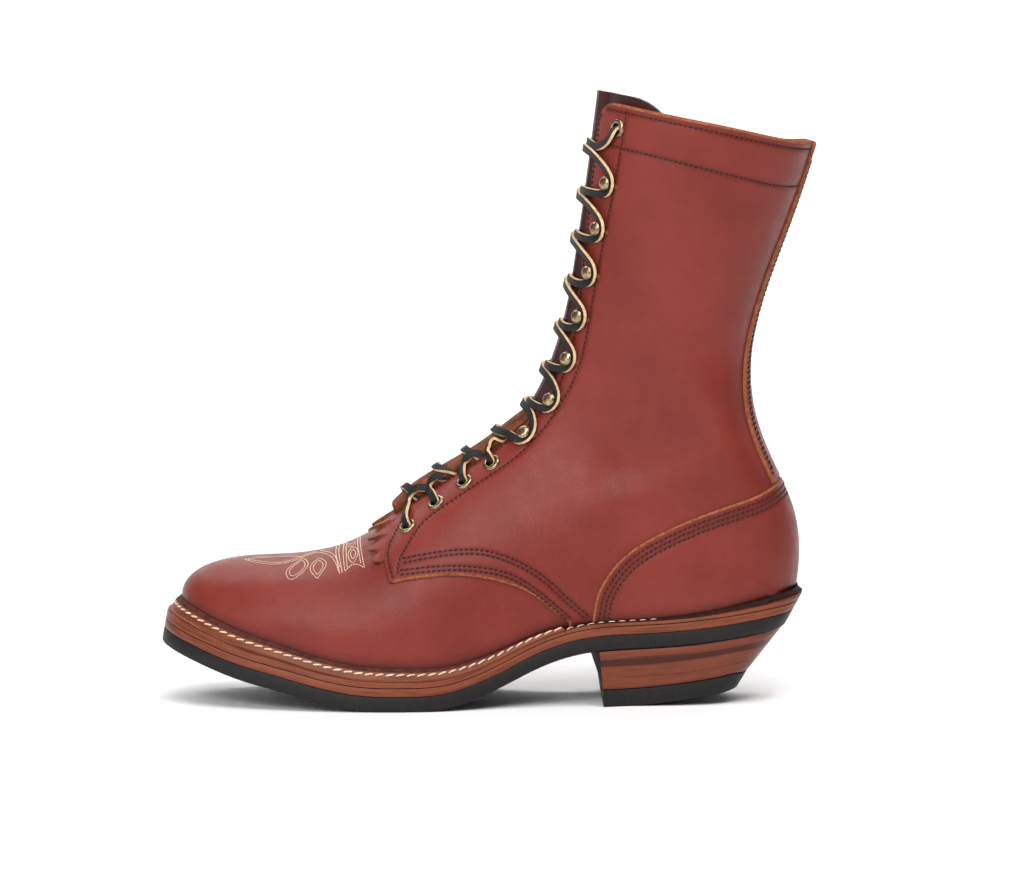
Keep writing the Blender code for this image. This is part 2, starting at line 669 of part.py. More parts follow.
def evenly(line, count):
    """The same line with this many points, evenly spaced along it."""
    way = np.concatenate([[0.0], np.cumsum(np.linalg.norm(np.diff(line, axis=0), axis=1))])
    places = np.linspace(0.0, way[-1], count)
    return np.stack([np.interp(places, way, line[:, k]) for k in range(3)], axis=1)


def strip_walls(rows, side, face, inner_rise, round_toe):
    """Three lines up a strip's inner face, which keeps clear of the leather beside it.

    Round the toe they lie on the leather. Round the heel they lean out with it from the line at the seat.
    """
    faces = np.full_like(rows, face)
    lines = []
    for share in (0.0, 0.5, 1.0):
        if round_toe:
            line = contour(rows, side, faces, lambda x, share=share: share * inner_rise(x))
            lines.append(stood_off(line, side, STRIP_CLEARANCE * np.ones_like(rows), -1.0))
            continue
        foot = contour(rows, side, faces, lambda x: 0.0 * x)
        top = contour(rows, side, faces, inner_rise)
        lean = np.where(rows < HEEL_CORNER_ROW, np.maximum((top - foot)[:, 1] * side, 0.0), HEEL_CORNER_LEAN)
        line = stood_off(foot, side, STRIP_CLEARANCE + share * lean, 1.0)
        line[:, 2] += share * inner_rise(line[:, 0])
        lines.append(line)
    return lines


def strip(name, end_x, tip_row, face, outer_rise, inner_rise, finish):
    """A strip on the midsole's edge, from one side round the toe or heel to the other."""
    end_row = row_at_base(end_x)
    round_toe = tip_row < end_row
    rows = np.linspace(min(end_row, tip_row), max(end_row, tip_row), STRIP_SAMPLES)
    halves = []
    for side in SIDES.values():
        lines = strip_walls(rows, side, face, inner_rise, round_toe)
        x = section(rows)["base_x"]
        lines.append(np.array([sole_point(row, side, SEAT + rise) for row, rise in zip(rows, outer_rise(x))]))
        lines.append(np.array([sole_point(row, side, SEAT) for row in rows]))
        half = np.stack([evenly(line, STRIP_COUNT) for line in lines], axis=1)
        halves.append(half[::-1] if round_toe else half)
    return loft(name, np.concatenate([halves[0], halves[1][::-1][1:]]), finish)


def build_welt(finish):
    rise = by_column(WELT_RISE, WELT_RISE_COLUMNS)
    outer, inner = (spline(rise["x"], rise[edge]) for edge in ("outer", "inner"))
    return strip("welt", WELT_END_X, 0.0, 0.0, outer, inner, finish)


def build_rand(finish):
    def brim(x):
        return RAND_RISE + RAND_BACK_FLARE * smooth_step((x - RAND_FLARE_RAMP[0]) / np.ptp(RAND_FLARE_RAMP))

    def lip(x):
        return np.full_like(np.asarray(x, float), RAND_RISE)

    return strip("heel_rand", RAND_START_X, float(HEEL_ROW), OVERLAY_FACE, brim, lip, finish)


def heel_loop(share, levels):
    """Loop round both sides of the heel at a share of the way from its breast to its back."""
    halves = []
    for side in (OUTER, INNER):
        first = row_at_base(BREAST_X[side])
        row = first + (HEEL_ROW - first) * share
        plan = outline(row, side, SOLE_EDGE_AT(section(row)["base_x"]))
        line = []
        for low, high, part in levels:
            top = high
            if high is None:
                top = float(sole_point(row, side, -CLEARANCE)[2])
            z = low + (top - low) * part
            line.append([*drawn_in(plan, z), z])
        halves.append(line)
    return halves[0] + halves[1][::-1]


def build_heel(finishes):
    shares = np.sin(np.linspace(0, math.pi / 2, 15))
    lift = [(0.0, TOP_LIFT_HEIGHT, part) for part in (1.0, 0.0)]
    loft("top_lift", [heel_loop(share, lift) for share in shares], finishes["rubber"])
    low = TOP_LIFT_HEIGHT + CLEARANCE
    stack = [(low, None, part) for part in np.linspace(1, 0, STACK_LEVELS)]
    loft("heel_stack", [heel_loop(share, stack) for share in shares], finishes["sole_leather"])


def smooth_line(points, count):
    """Points along a smooth curve through the given ones."""
    points = np.array(points, float)
    way = np.concatenate([[0.0], np.cumsum(np.hypot(*np.diff(points, axis=0).T))])
    return spline(way, points)(np.linspace(0.0, way[-1], count))


def side_cutter(name, outline_points, low, high):
    """A prism whose outline is seen from the side, between two places across the boot."""
    loops = [[(x, y, z) for x, z in outline_points] for y in (low, high)]
    return loft(name, loops, None)


def cut(thing, cutter, operation):
    trim = thing.modifiers.new(cutter.name, "BOOLEAN")
    trim.operation = operation
    trim.solver = "EXACT"
    trim.object = cutter


def build_quarters(finish):
    front = smooth_line(QUARTER_FRONT_EDGE, 12)
    lower = smooth_line(QUARTER_LOWER_EDGE, 18)
    foot_x = QUARTER_LOWER_EDGE[0][0]
    frame = [(front[-1][0], CUT_TOP), (CUT_BACK, CUT_TOP), (CUT_BACK, CUT_FLOOR), (foot_x, CUT_FLOOR)]
    shape = [*front, *frame, *lower]
    rows = body_rows()
    rows = rows[rows >= QUARTER_FIRST_ROW]
    for name, side in SIDES.items():
        piece = sheet(f"quarter_{name}", [on_body(rows, side, QUARTER_FACE, LAYER_GAP)], finish)
        reach = sorted((side * BACK_SEAM_HALF_GAP, side * CUT_REACH))
        cut(piece, side_cutter(f"cut_quarter_{name}", shape, *reach), "INTERSECT")


def counter_outline(lift):
    """The counter's outline seen from the side, with its top edge moved up by some amount."""
    edge = smooth_line(COUNTER_EDGE, 16) + np.array([0.0, lift])
    frame = [(CUT_BACK, edge[-1][1] + COUNTER_BACK_RISE), (CUT_BACK, CUT_FLOOR), (edge[0][0], CUT_FLOOR)]
    return [*edge, *frame]


def overlay(rows):
    """Patches of both sides for a piece that lies on the quarters."""
    return [on_body(rows, side, OVERLAY_FACE, QUARTER_FACE + LAYER_GAP) for side in SIDES.values()]


def build_counter(finish):
    rows = body_rows()
    rows = rows[(rows >= COUNTER_ROWS[0]) & (rows <= COUNTER_ROWS[1])]
    piece = sheet("counter", overlay(rows), finish)
    cut(piece, side_cutter("cut_counter", counter_outline(0.0), -CUT_REACH, CUT_REACH), "INTERSECT")


def build_backstay(finish):
    rows = body_rows()
    rows = rows[rows >= BACKSTAY_FIRST_ROW]
    piece = sheet("backstay", overlay(rows), finish)
    edge = smooth_line(BACKSTAY_EDGE, 12)
    shape = [*edge, *(edge[::-1] * np.array([-1.0, 1.0]))]
    behind = sum(section(COLLAR_ROW)[name] for name in ("ridge_x", "base_x")) / 2
    loops = [[(x, y, z) for y, z in shape] for x in (behind, CUT_BACK)]
    cut(piece, loft("cut_backstay", loops, None), "INTERSECT")
    below = side_cutter("cut_backstay_foot", counter_outline(BACKSTAY_FOOT_GAP), -CUT_REACH, CUT_REACH)
    cut(piece, below, "DIFFERENCE")


def row_before_edge(turn, side):
    """Row, at a turn, that lies just in front of the quarter's front edge as seen from the side."""
    edge = np.array(QUARTER_FRONT_EDGE)
    low, high = QUARTER_FIRST_ROW - 1.0, QUARTER_FIRST_ROW + 2.0
    for _ in range(40):
        middle = (low + high) / 2
        x, _, z = lifted(middle, turn, side, QUARTER_FACE)
        if x < np.interp(z, edge[:, 1], edge[:, 0]) - FRINGE_BACK_GAP:
            low = middle
        else:
            high = middle
    return low


def fringe_columns():
    """Distances from the ridge and lengths, column by column, of the strips on one side and the notches between."""
    columns = []
    for i, (middle, half, length) in enumerate(FRINGE_STRIPS):
        if i:
            before, half_before, _ = FRINGE_STRIPS[i - 1]
            columns.append(((before + half_before + middle - half) / 2, FRINGE_NOTCH))
            columns.append((middle - half, length))
        columns.append((middle, length))
        columns.append((middle + half, length))
    return columns


def build_kiltie(finish):
    body = {name: values[:, None] for name, values in by_column(KILTIE_BODY, KILTIE_COLUMNS).items()}
    columns = fringe_columns()
    in_mouth = [distance for distance, _ in columns if distance <= body["half_width"][0]]
    patches = []
    for side in SIDES.values():
        rows, turns = [], []
        for distance, length in columns:
            turn = float(turn_at_width(KILTIE_MOUTH_ROW, distance, side))
            root = KILTIE_MOUTH_ROW if distance in in_mouth else row_before_edge(turn, side)
            pace = np.linalg.norm(surface(root, turn, side) - surface(root - 0.1, turn, side)) / 0.1
            tip = row_before_edge(turn, side) - length / pace
            rows.append(np.linspace(root, tip, FRINGE_ROWS))
            turns.append(np.full(FRINGE_ROWS, turn))
        rows, turns = np.array(rows).T, np.array(turns).T
        curl = FRINGE_CURL * (np.arange(FRINGE_ROWS) / (FRINGE_ROWS - 1))[:, None] ** 2 * np.ones(rows.shape)
        patches.append((rows, turns, side, KILTIE_SKIN + curl, KILTIE_LIFT + curl))
        share = np.array(in_mouth) / in_mouth[-1]
        fold_rows = np.repeat(body["row"], len(share), axis=1)
        distances = body["half_width"] * share
        distances[0] = in_mouth
        crown = np.cos(share * math.pi / 2)
        outer = body["edge"] + (body["middle"] - body["edge"]) * crown
        fold_turns = turn_at_width(fold_rows, distances, side)
        patches.append((fold_rows, fold_turns, side, outer, KILTIE_LIFT))
    return sheet("kiltie", patches, finish)


def locate(x, z):
    """Row and turn of the place on the quarter's face that is seen at x and z from the side."""
    rows, turns = np.meshgrid(NET_ROWS, NET_TURNS[NET_TURNS < 0.5], indexing="ij")
    seen = lifted(rows, turns, OUTER, np.full(rows.shape, QUARTER_FACE))
    nearest = np.argmin((seen[..., 0] - x) ** 2 + (seen[..., 2] - z) ** 2)
    place = np.array([rows.flat[nearest], turns.flat[nearest]])
    for _ in range(8):
        here = lifted(*place, OUTER, QUARTER_FACE)[[0, 2]]
        step = 1e-3
        slopes = [(lifted(*(place + shift), OUTER, QUARTER_FACE)[[0, 2]] - here) / step for shift in step * np.eye(2)]
        place = place + np.linalg.solve(np.array(slopes).T, np.array([x, z]) - here)
    return place


def facet(row, turn, side):
    """Point and normal of the quarter's meshed face at a place on it."""
    rows = body_rows()
    i = int(np.searchsorted(rows, row)) - 1
    turns = body_turns(rows[i : i + 2], side)
    a = (row - rows[i]) / (rows[i + 1] - rows[i])
    columns = turns[0] + (turns[1] - turns[0]) * a
    j = int(np.searchsorted(columns, turn)) - 1
    b = (turn - columns[j]) / (columns[j + 1] - columns[j])
    corners = raised(rows[i : i + 2, None], turns[:, j : j + 2], side, np.full((2, 2), QUARTER_FACE))
    third = corners[0, 1] if b >= a else corners[1, 0]
    shares = (1 - max(a, b), abs(b - a), min(a, b))
    point = shares[0] * corners[0, 0] + shares[1] * third + shares[2] * corners[1, 1]
    normal = np.cross(third - corners[0, 0], corners[1, 1] - corners[0, 0])
    normal = normal / np.linalg.norm(normal)
    return point, normal * np.sign(normal @ outward(row, turn, side))


def turned(name, profile, closed, point, normal, finish):
    """A turned piece of hardware that stands on the leather at a point, along the leather's normal."""
    mesh = bpy.data.meshes.new(name)
    points = [(radius * MM, 0.0, height * MM) for radius, height in profile]
    edges = [(i, i + 1) for i in range(len(points) - 1)]
    if closed:
        edges.append((len(points) - 1, 0))
    mesh.from_pydata(points, edges, [])
    thing = make_object(name, mesh, finish)
    thing.location = placed(point)
    thing.rotation_mode = "QUATERNION"
    thing.rotation_quaternion = Vector(normal).to_track_quat("Z", "Y")
    turn = thing.modifiers.new("turn", "SCREW")
    turn.steps = TURNED_STEPS
    turn.render_steps = TURNED_STEPS
    turn.use_merge_vertices = True
    turn.merge_threshold = 1e-5
    return thing


def build_hardware(finish):
    """Eyelets and hooks on both sides, each numbered from the bottom up. Returns the places from the bottom up."""
    for kind, places, profile in (("eyelet", EYELETS, EYELET_PROFILE), ("hook", HOOKS, HOOK_PROFILE)):
        for number, (x, z) in enumerate(places, 1):
            row, turn = locate(x, z)
            for name, side in SIDES.items():
                point, normal = facet(row, turn, side)
                point = point + normal * HARDWARE_SEAT
                turned(f"{kind}_{name}_{number}", profile, kind == "eyelet", point, normal, finish)
    in_order = sorted(EYELETS + HOOKS, key=lambda place: place[1])
    return [locate(x, z) for x, z in in_order]


def lace_bar(start, end, first_side, middle_height):
    """Loops of one bar of lace over the throat, from the start's hardware to the end's on the other side."""
    share = np.linspace(0.0, 1.0, 101)
    rows = start[0] + (end[0] - start[0]) * share
    turns = -start[1] + (end[1] + start[1]) * share
    heights = LACE_END_HEIGHT + (middle_height - LACE_END_HEIGHT) * np.sin(math.pi * share)
    sides = np.where(turns < 0, first_side, -first_side)
    path = np.array([lifted(*at) for at in zip(rows, np.abs(turns), sides, heights)])
    normals = np.array([outward(*at) for at in zip(rows, np.abs(turns), sides)])
    way = np.concatenate([[0.0], np.cumsum(np.linalg.norm(np.diff(path, axis=0), axis=1))])
    stops = np.linspace(LACE_END_GAP, way[-1] - LACE_END_GAP, LACE_POINTS)
    path = np.stack([np.interp(stops, way, path[:, k]) for k in range(3)], axis=1)
    normals = np.stack([np.interp(stops, way, normals[:, k]) for k in range(3)], axis=1)
    along = np.gradient(path, axis=0)
    across = np.cross(normals, along)
    across = across / np.linalg.norm(across, axis=1, keepdims=True) * LACE_WIDTH / 2
    up = np.cross(along, across)
    up = up / np.linalg.norm(up, axis=1, keepdims=True) * LACE_THICKNESS / 2
    return np.stack([path + across + up, path - across + up, path - across - up, path + across - up], axis=1)


def build_lace(places, finish):
    for number, (start, end) in enumerate(zip(places, places[1:]), 1):
        over = "kiltie" if number <= LACE_LAST_KILTIE_CROSSING else "tongue"
        height = LACE_CROSSING_HEIGHT[over]
        bar = loft(f"lace_crossing_{number}", lace_bar(start, end, OUTER, height), finish)
        other = loft(f"join_lace_{number}", lace_bar(start, end, INNER, height), None)
        cut(bar, other, "UNION")


for old in list(bpy.data.objects):
    bpy.data.objects.remove(old, do_unlink=True)
PARTS = bpy.data.collections.new("packer_boot")
bpy.context.scene.collection.children.link(PARTS)
CUTTERS = bpy.data.collections.new("cutters")
bpy.context.scene.collection.children.link(CUTTERS)
ROOT = bpy.data.objects.new("boot", None)
PARTS.objects.link(ROOT)

FINISHES = {
    "leather": material("oiled_leather", LEATHER_RED, 0.5),
    "tongue": material("tongue_leather", LEATHER_DARK, 0.6),
    "sole_leather": material("sole_leather", SOLE_BROWN, 0.45),
    "rubber": material("black_rubber", RUBBER_BLACK, 0.6),
    "insole": material("insole_leather", INSOLE_TAN, 0.7),
    "brass": material("antique_brass", BRASS, 0.35, 1.0),
    "lace": material("lace_leather", LACE_BLACK, 0.6),
}
build_sole(FINISHES)
build_heel(FINISHES)
build_welt(FINISHES["sole_leather"])
build_rand(FINISHES["sole_leather"])
build_upper(FINISHES["leather"])
build_tongue(FINISHES["tongue"])
build_quarters(FINISHES["leather"])
build_counter(FINISHES["leather"])
build_backstay(FINISHES["leather"])
build_kiltie(FINISHES["tongue"])
build_lace(build_hardware(FINISHES["brass"]), FINISHES["lace"])
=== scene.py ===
"""Looks of the left packer boot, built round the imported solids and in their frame.

The leather pieces repeat the part's sections and edges at a finer step. Until a mesh is made, sizes are in
millimetres in the part's drawing, with the toe to -X, the outer side to -Y and the floor at Z = 0.
"""

import json
import math

import bpy
import numpy as np
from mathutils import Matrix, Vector

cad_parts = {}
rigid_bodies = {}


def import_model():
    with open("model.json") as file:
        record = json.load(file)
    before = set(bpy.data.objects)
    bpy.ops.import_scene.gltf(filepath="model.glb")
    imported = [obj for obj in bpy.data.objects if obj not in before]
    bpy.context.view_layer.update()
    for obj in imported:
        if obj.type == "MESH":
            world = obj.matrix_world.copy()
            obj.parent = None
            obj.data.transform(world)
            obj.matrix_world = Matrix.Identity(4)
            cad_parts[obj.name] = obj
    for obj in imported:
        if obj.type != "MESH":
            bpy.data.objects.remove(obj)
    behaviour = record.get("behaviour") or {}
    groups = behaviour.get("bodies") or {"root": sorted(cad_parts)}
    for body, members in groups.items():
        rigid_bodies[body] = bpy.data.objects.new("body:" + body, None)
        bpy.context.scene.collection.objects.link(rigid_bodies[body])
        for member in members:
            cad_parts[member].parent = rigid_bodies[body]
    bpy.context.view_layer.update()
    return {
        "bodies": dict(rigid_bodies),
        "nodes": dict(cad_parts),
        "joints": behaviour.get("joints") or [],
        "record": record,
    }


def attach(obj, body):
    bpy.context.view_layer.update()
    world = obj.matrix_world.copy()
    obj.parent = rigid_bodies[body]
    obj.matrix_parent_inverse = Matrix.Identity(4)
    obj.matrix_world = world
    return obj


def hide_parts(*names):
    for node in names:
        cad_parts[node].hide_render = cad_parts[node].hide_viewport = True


MM = 0.001
CENTRE = np.array([0.0, -2.56, 0.0])
OUTER, INNER = -1, 1
SIDES = {"lateral": OUTER, "medial": INNER}

# Sections of the upper whose lower ends stand on the sole, from the toe tip to the back of the heel seat.
FOOT_COLUMNS = "ridge_x ridge_z ridge_y base_x base_out base_in wide_out wide_in widest round".split()
FOOT_SECTIONS = (
    (-147.4, 50.0, 4.0, -147.4, 4.0, 4.0, 4.0, 4.0, 0.55, 2.20),
    (-145.9, 55.6, 4.2, -145.7, -8.0, 15.5, -8.6, 16.2, 0.58, 2.20),
    (-141.3, 60.6, 4.5, -140.6, -18.0, 24.5, -19.0, 25.6, 0.62, 2.20),
    (-132.5, 65.0, 5.0, -131.0, -27.5, 33.0, -29.0, 34.6, 0.66, 2.20),
    (-117.5, 68.0, 5.5, -115.5, -37.0, 40.0, -38.8, 42.0, 0.68, 2.20),
    (-98.0, 69.0, 6.0, -96.0, -44.0, 43.5, -46.0, 45.8, 0.70, 2.20),
    (-79.0, 71.3, 6.5, -74.0, -48.0, 44.0, -50.2, 46.4, 0.71, 2.15),
    (-62.0, 77.2, 6.5, -49.0, -49.3, 42.0, -51.5, 44.8, 0.71, 2.10),
    (-45.0, 87.5, 6.0, -21.0, -46.8, 37.0, -49.5, 40.5, 0.70, 2.10),
    (-28.5, 99.5, 5.0, 10.0, -38.5, 30.0, -44.0, 37.0, 0.69, 2.15),
    (-12.5, 110.8, 3.8, 44.0, -33.0, 27.5, -38.0, 34.0, 0.70, 2.25),
    (1.0, 121.0, 2.5, 78.0, -31.0, 28.5, -34.8, 33.0, 0.72, 2.35),
    (11.5, 130.5, 1.2, 108.0, -29.8, 29.0, -33.0, 32.4, 0.75, 2.45),
    (19.0, 139.5, 0.4, 135.4, -24.6, 24.5, -32.2, 32.2, 0.77, 2.50),
    (24.3, 148.0, 0.0, 143.2, -12.8, 12.8, -31.6, 31.6, 0.775, 2.50),
    (28.3, 156.0, 0.0, 144.2, 0.0, 0.0, -31.4, 31.4, 0.775, 2.50),
)
# Sections of the shaft, from above the heel seat to the collar. The last row is above the collar.
SHAFT_COLUMNS = "ridge_x ridge_z back_x back_z half_width widest round back_round".split()
SHAFT_SECTIONS = (
    (31.8, 165.0, 146.9, 66.0, 31.6, 0.765, 2.50, 2.3),
    (35.2, 175.5, 145.2, 88.5, 32.0, 0.74, 2.45, 2.2),
    (38.2, 187.0, 136.5, 110.0, 32.6, 0.70, 2.35, 2.1),
    (40.8, 200.0, 127.6, 131.5, 33.5, 0.65, 2.25, 2.05),
    (43.0, 214.5, 123.6, 155.0, 35.2, 0.60, 2.15, 2.0),
    (45.4, 230.5, 126.0, 180.0, 37.8, 0.56, 2.10, 2.0),
    (47.8, 248.0, 133.5, 206.0, 41.0, 0.53, 2.05, 2.0),
    (50.3, 267.0, 143.8, 234.5, 44.2, 0.51, 2.05, 2.0),
    (52.8, 287.0, 154.2, 266.5, 47.0, 0.50, 2.05, 2.0),
    (55.3, 307.0, 164.0, 300.0, 49.5, 0.50, 2.05, 2.0),
)
ARCH_COLUMNS = "ridge_x ridge_z ridge_y wide_out wide_in widest round back_round".split()
BASE_COLUMNS = "base_x base_out base_in".split()
HEEL_BACK_RULE = 2.4
HEEL_ROW = len(FOOT_SECTIONS) - 1
COLLAR_ROW = HEEL_ROW + len(SHAFT_SECTIONS) - 1

# Height of the outsole's underside along the boot: toe spring, flat tread, arch and heel seat.
SOLE_LINE = (
    (-158.0, 28.2),
    (-140.0, 21.4),
    (-120.0, 14.5),
    (-100.0, 9.4),
    (-80.0, 4.1),
    (-70.0, 2.0),
    (-60.0, 0.6),
    (-47.0, 0.0),
    (-34.0, 0.0),
    (-22.0, 0.9),
    (-8.0, 4.4),
    (8.0, 11.2),
    (25.0, 19.4),
    (45.0, 25.6),
    (70.0, 27.7),
    (95.0, 29.3),
    (118.0, 32.3),
    (136.0, 35.4),
    (152.0, 38.4),
)
# How far the sole's edge stands out from the base of the upper.
SOLE_EDGE = ((-147.4, 9.8), (-125.0, 8.2), (-60.0, 7.2), (0.0, 6.6), (45.0, 6.2), (100.0, 6.0), (144.2, 6.8))

# Thicknesses and clearances.
CLEARANCE = 0.3
MIDSOLE_TOP = 11.2
SEAT = MIDSOLE_TOP + 0.45
UPPER_WALL = 2.0
LEATHER = 1.2
LAYER_GAP = 0.4
QUARTER_FACE = LAYER_GAP + LEATHER
OVERLAY_FACE = 2 * (LAYER_GAP + LEATHER)
TONGUE_WALL = 2.2
EDGE_ROUNDING = 1.0
EDGE_DROP = 0.7
RAW_SHARE = 0.8
UNDER_SHEET = 0.1
COLLAR_BARE_ROWS = 0.25
QUARTER_BARE_X, QUARTER_BARE_HEIGHT = -45.0, 66.0
# FOOT_SHADE_HEIGHT: how fast the painted shade, with some dirt, at the foot of the upper fades upwards from
# the welt and rand.
FOOT_SHADE_HEIGHT = 2.6
SEAM_REACH = 1.1
WEAR_REACH = 1.5
WEAR_OFFSET = (4.6, -1.6)
FIELD_BATCH = 4000

# Heel: the back slopes forward under the seat, and the sides draw in a little.
HEEL_BACK_TOP = (151.0, 50.5)
HEEL_BACK_FLOOR_X = 120.5
HEEL_PIVOT_X = 60.0
HEEL_SIDE_DRAW = 0.12
HEEL_DRAW_RAMP = (40.0, 75.0)
BREAST_X = {OUTER: 53.2, INNER: 47.4}
BREAST_LEAN = {OUTER: 2.0, INNER: 7.6}
HEEL_SPRING = 6.6
HEEL_SPRING_RAMP = (62.0, 118.0)
HEEL_SPRING_BEND = 1.6
TOP_LIFT_HEIGHT = 8.2
HEEL_SHARES = 64
# Profiles of the sole's edges, as level above the sole line and how far in from the edge.
OUTSOLE_PROFILE = ((0.0, 1.4), (0.25, 0.6), (0.9, 0.1), (3.5, 0.0), (6.6, 0.0), (7.1, 0.25), (7.2, 0.8))
MIDSOLE_PROFILE = ((7.3, 0.9), (7.4, 0.3), (7.9, 0.0), (9.5, 0.0), (11.0, 0.0), (11.2, 0.15))
# Profiles of the heel's layers: height, inset from the edge, and share of the way from there to the sole.
LIFT_EDGE = ((0.0, 0.9), (0.3, 0.3), (0.9, 0.05), (4.0, 0.0), (7.6, 0.0), (8.0, 0.15), (8.2, 0.6))
LIFT_PROFILE = [(height, inset, 0.0) for height, inset in LIFT_EDGE]
STACK_FOOT, STACK_ROUNDING, STACK_INSET = TOP_LIFT_HEIGHT + CLEARANCE, 0.4, 0.5
STACK_PROFILE = [
    (STACK_FOOT, STACK_INSET, 0.0),
    (STACK_FOOT + STACK_ROUNDING, 0.0, 0.0),
    *((STACK_FOOT, 0.0, share) for share in np.linspace(0.1, 0.95, 12)),
    (STACK_FOOT, STACK_INSET, 1.0),
]
# Darker layers of the stack, as share of its height and how dark.
STACK_HEIGHT = 28.0
STACK_BANDS = ((0.0, 0.25), (0.03, 0.0), (0.58, 0.0), (0.62, 0.85), (0.76, 0.75), (0.8, 0.0))

# Welt and rand: heights of their outer and inner top edges above the seat.
RISE_COLUMNS = "x outer inner".split()
WELT_RISE = ((-157.0, 7.0, 14.6), (-110.0, 4.6, 11.0), (-60.0, 3.6, 9.2), (0.0, 3.0, 6.6), (40.0, 2.0, 2.8))
RAND_RISE = ((36.0, 2.0, 2.4), (85.0, 2.0, 2.6), (115.0, 2.2, 4.0), (146.0, 3.2, 6.2))
WELT_END_X = 36.5
RAND_START_X = 36.7
STRIP_CLEARANCE = 1.2
STRIP_TOP_SHARE = 0.3
STRIP_EDGE = ((1.0, 1.6), (0.95, 0.7), (0.87, 0.3), (0.8, 0.7), (0.73, 0.15), (0.5, 0.0), (0.0, 0.0))
WELT_CROWN, RAND_CROWN = 0.9, -0.2
# How many lines of faces on the welt and rand, against the upper, are painted dark: painted shade in the
# angle under the leather, with some dirt on the welt.
WELT_SHADE_LINES, RAND_SHADE_LINES = 2, 4
# The sole's edge at the toe leans back as it rises.
TOE_LEAN, TOE_LEAN_HEIGHT = 3.0, 17.0
TOE_LEAN_RAMP = (-112.0, -147.0)
HEEL_CORNER_ROW = 12.9
HEEL_CORNER_LEAN = 0.8
STRIP_SAMPLES = 240
STRIP_COUNT = 150

# Throat between the two quarters, as a half gap from the ridge.
THROAT_ROW = 7.55
THROAT_GAP = (
    (7.55, 0.0),
    (7.7, 5.0),
    (8.0, 8.5),
    (9.0, 10.0),
    (11.0, 11.0),
    (14.0, 12.6),
    (18.0, 13.8),
    (25.0, 14.0),
)
THROAT_MARGIN = 2.0
FAR_INSIDE = 50.0
COLLAR_CORNER_ROWS = 0.62
COLLAR_CORNER = 15.0
COLLAR_PACE = (20.2, 33.9)
# How much the collar's edge stands above its row in front of the back, on each side.
COLLAR_RISE = {OUTER: 2.4, INNER: -2.6}
COLLAR_BACK_RISE = 2.6

# Edges of the leather pieces, as (x, z) seen from the side.
QUARTER_FRONT_EDGE = (
    (-46.6, 60.8),
    (-48.6, 67.0),
    (-49.3, 75.5),
    (-46.8, 82.0),
    (-43.2, 88.0),
    (-38.0, 95.0),
)
QUARTER_LOWER_EDGE = (
    (39.2, 40.5),
    (32.2, 46.2),
    (24.0, 53.0),
    (11.9, 59.2),
    (-0.7, 62.6),
    (-15.2, 64.2),
    (-34.6, 62.8),
)
QUARTER_FIRST_ROW = 6.9
COUNTER_EDGE = (
    (50.4, 41.8),
    (52.5, 53.7),
    (57.8, 63.7),
    (64.6, 71.6),
    (74.3, 78.6),
    (87.8, 85.6),
    (101.9, 91.5),
    (117.9, 97.2),
    (131.9, 102.4),
    (143.0, 108.4),
)
COUNTER_ROWS = (9.5, 19.0)
COUNTER_BACK_RISE = 4.0
BACKSTAY_EDGE = (
    (23.6, 90.0),
    (22.9, 107.0),
    (21.4, 125.0),
    (18.8, 142.0),
    (15.4, 160.0),
    (12.2, 194.0),
    (11.4, 223.0),
    (9.0, 250.0),
    (7.5, 300.0),
)
BACKSTAY_ROWS = (16.4, COLLAR_ROW + 0.2)
BACKSTAY_FOOT_GAP = 0.5
COUNTER_FIRST_TURN, BACKSTAY_FIRST_TURN = 0.35, 0.6
CUT_TOP, CUT_FLOOR, CUT_BACK = 330.0, 20.0, 200.0

# Tongue.
TONGUE_CLEARANCE = 1.7
TONGUE_ROWS = (7.3, 24.3)
TONGUE_RISE_ROWS = (8.15, 9.75)
TONGUE_BEND = (0.4, 0.8)
TONGUE_REACH = 0.31
TONGUE_FALL_ROWS = 0.32
TONGUE_FALL_START = 0.55
TONGUE_FALL_BEND = 2.5
TONGUE_INNER_DROP_ROWS = 0.12
TONGUE_INNER_DROP_SHARES = (0.0, 0.25)
TONGUE_LEAST_GAP = 1.0
TONGUE_SWELL = 0.8
TONGUE_SWELL_ROWS = (12.0, 14.0)

# Kiltie: a folded strip in the throat, and a fringe on the vamp in front of the quarters.
KILTIE_LIFT = 0.45
KILTIE_SKIN = 1.9
KILTIE_MOUTH_ROW, KILTIE_MOUTH_HALF = 8.05, 6.5
KILTIE_ROOT_ROW = 8.45
# Sections of the fold: row, half width, and height of its top above the upper.
FOLD = (
    (8.1, 7.8, 6.2),
    (8.6, 9.0, 7.6),
    (9.2, 9.7, 7.5),
    (10.2, 10.3, 6.0),
    (11.2, 10.7, 4.8),
    (12.1, 10.9, 3.8),
    (12.8, 11.0, 2.0),
    (13.2, 11.0, 0.6),
)
FOLD_BOTTOM = -1.8
FOLD_SQUARE = (0.55, 0.7)
FOLD_CROWN = 0.3
SUEDE_KIND = 3
FOLD_RINGS = 60
FOLD_SIDES = 32
# The fold's blunt front end, as how far each ring lies behind the first row and the share of its full height.
FOLD_END = ((0.0, 0.1), (0.008, 0.55), (0.025, 0.8), (0.06, 0.95))
FOLD_BODY_START = 0.12
# Strips of the fringe on one side: how far the middle lies from the ridge, half width and length.
FRINGE_STRIPS = ((0.0, 3.6, 15.2), (10.4, 4.2, 10.2), (20.2, 3.8, 9.0), (29.0, 3.2, 5.6), (36.0, 2.6, 3.4))
FRINGE_NOTCH = 1.4
FRINGE_ROOT_SKIN = 1.2
FRINGE_ROOT_SHARES = (0.0, 0.25)
FRINGE_ROOT_ROWS = 0.35
FRINGE_CURL = 0.9
FRINGE_TILT = 1.2
FRINGE_BACK_GAP = 1.7
FRINGE_ROWS = 10
FRINGE_STRIP_COLUMNS = 6

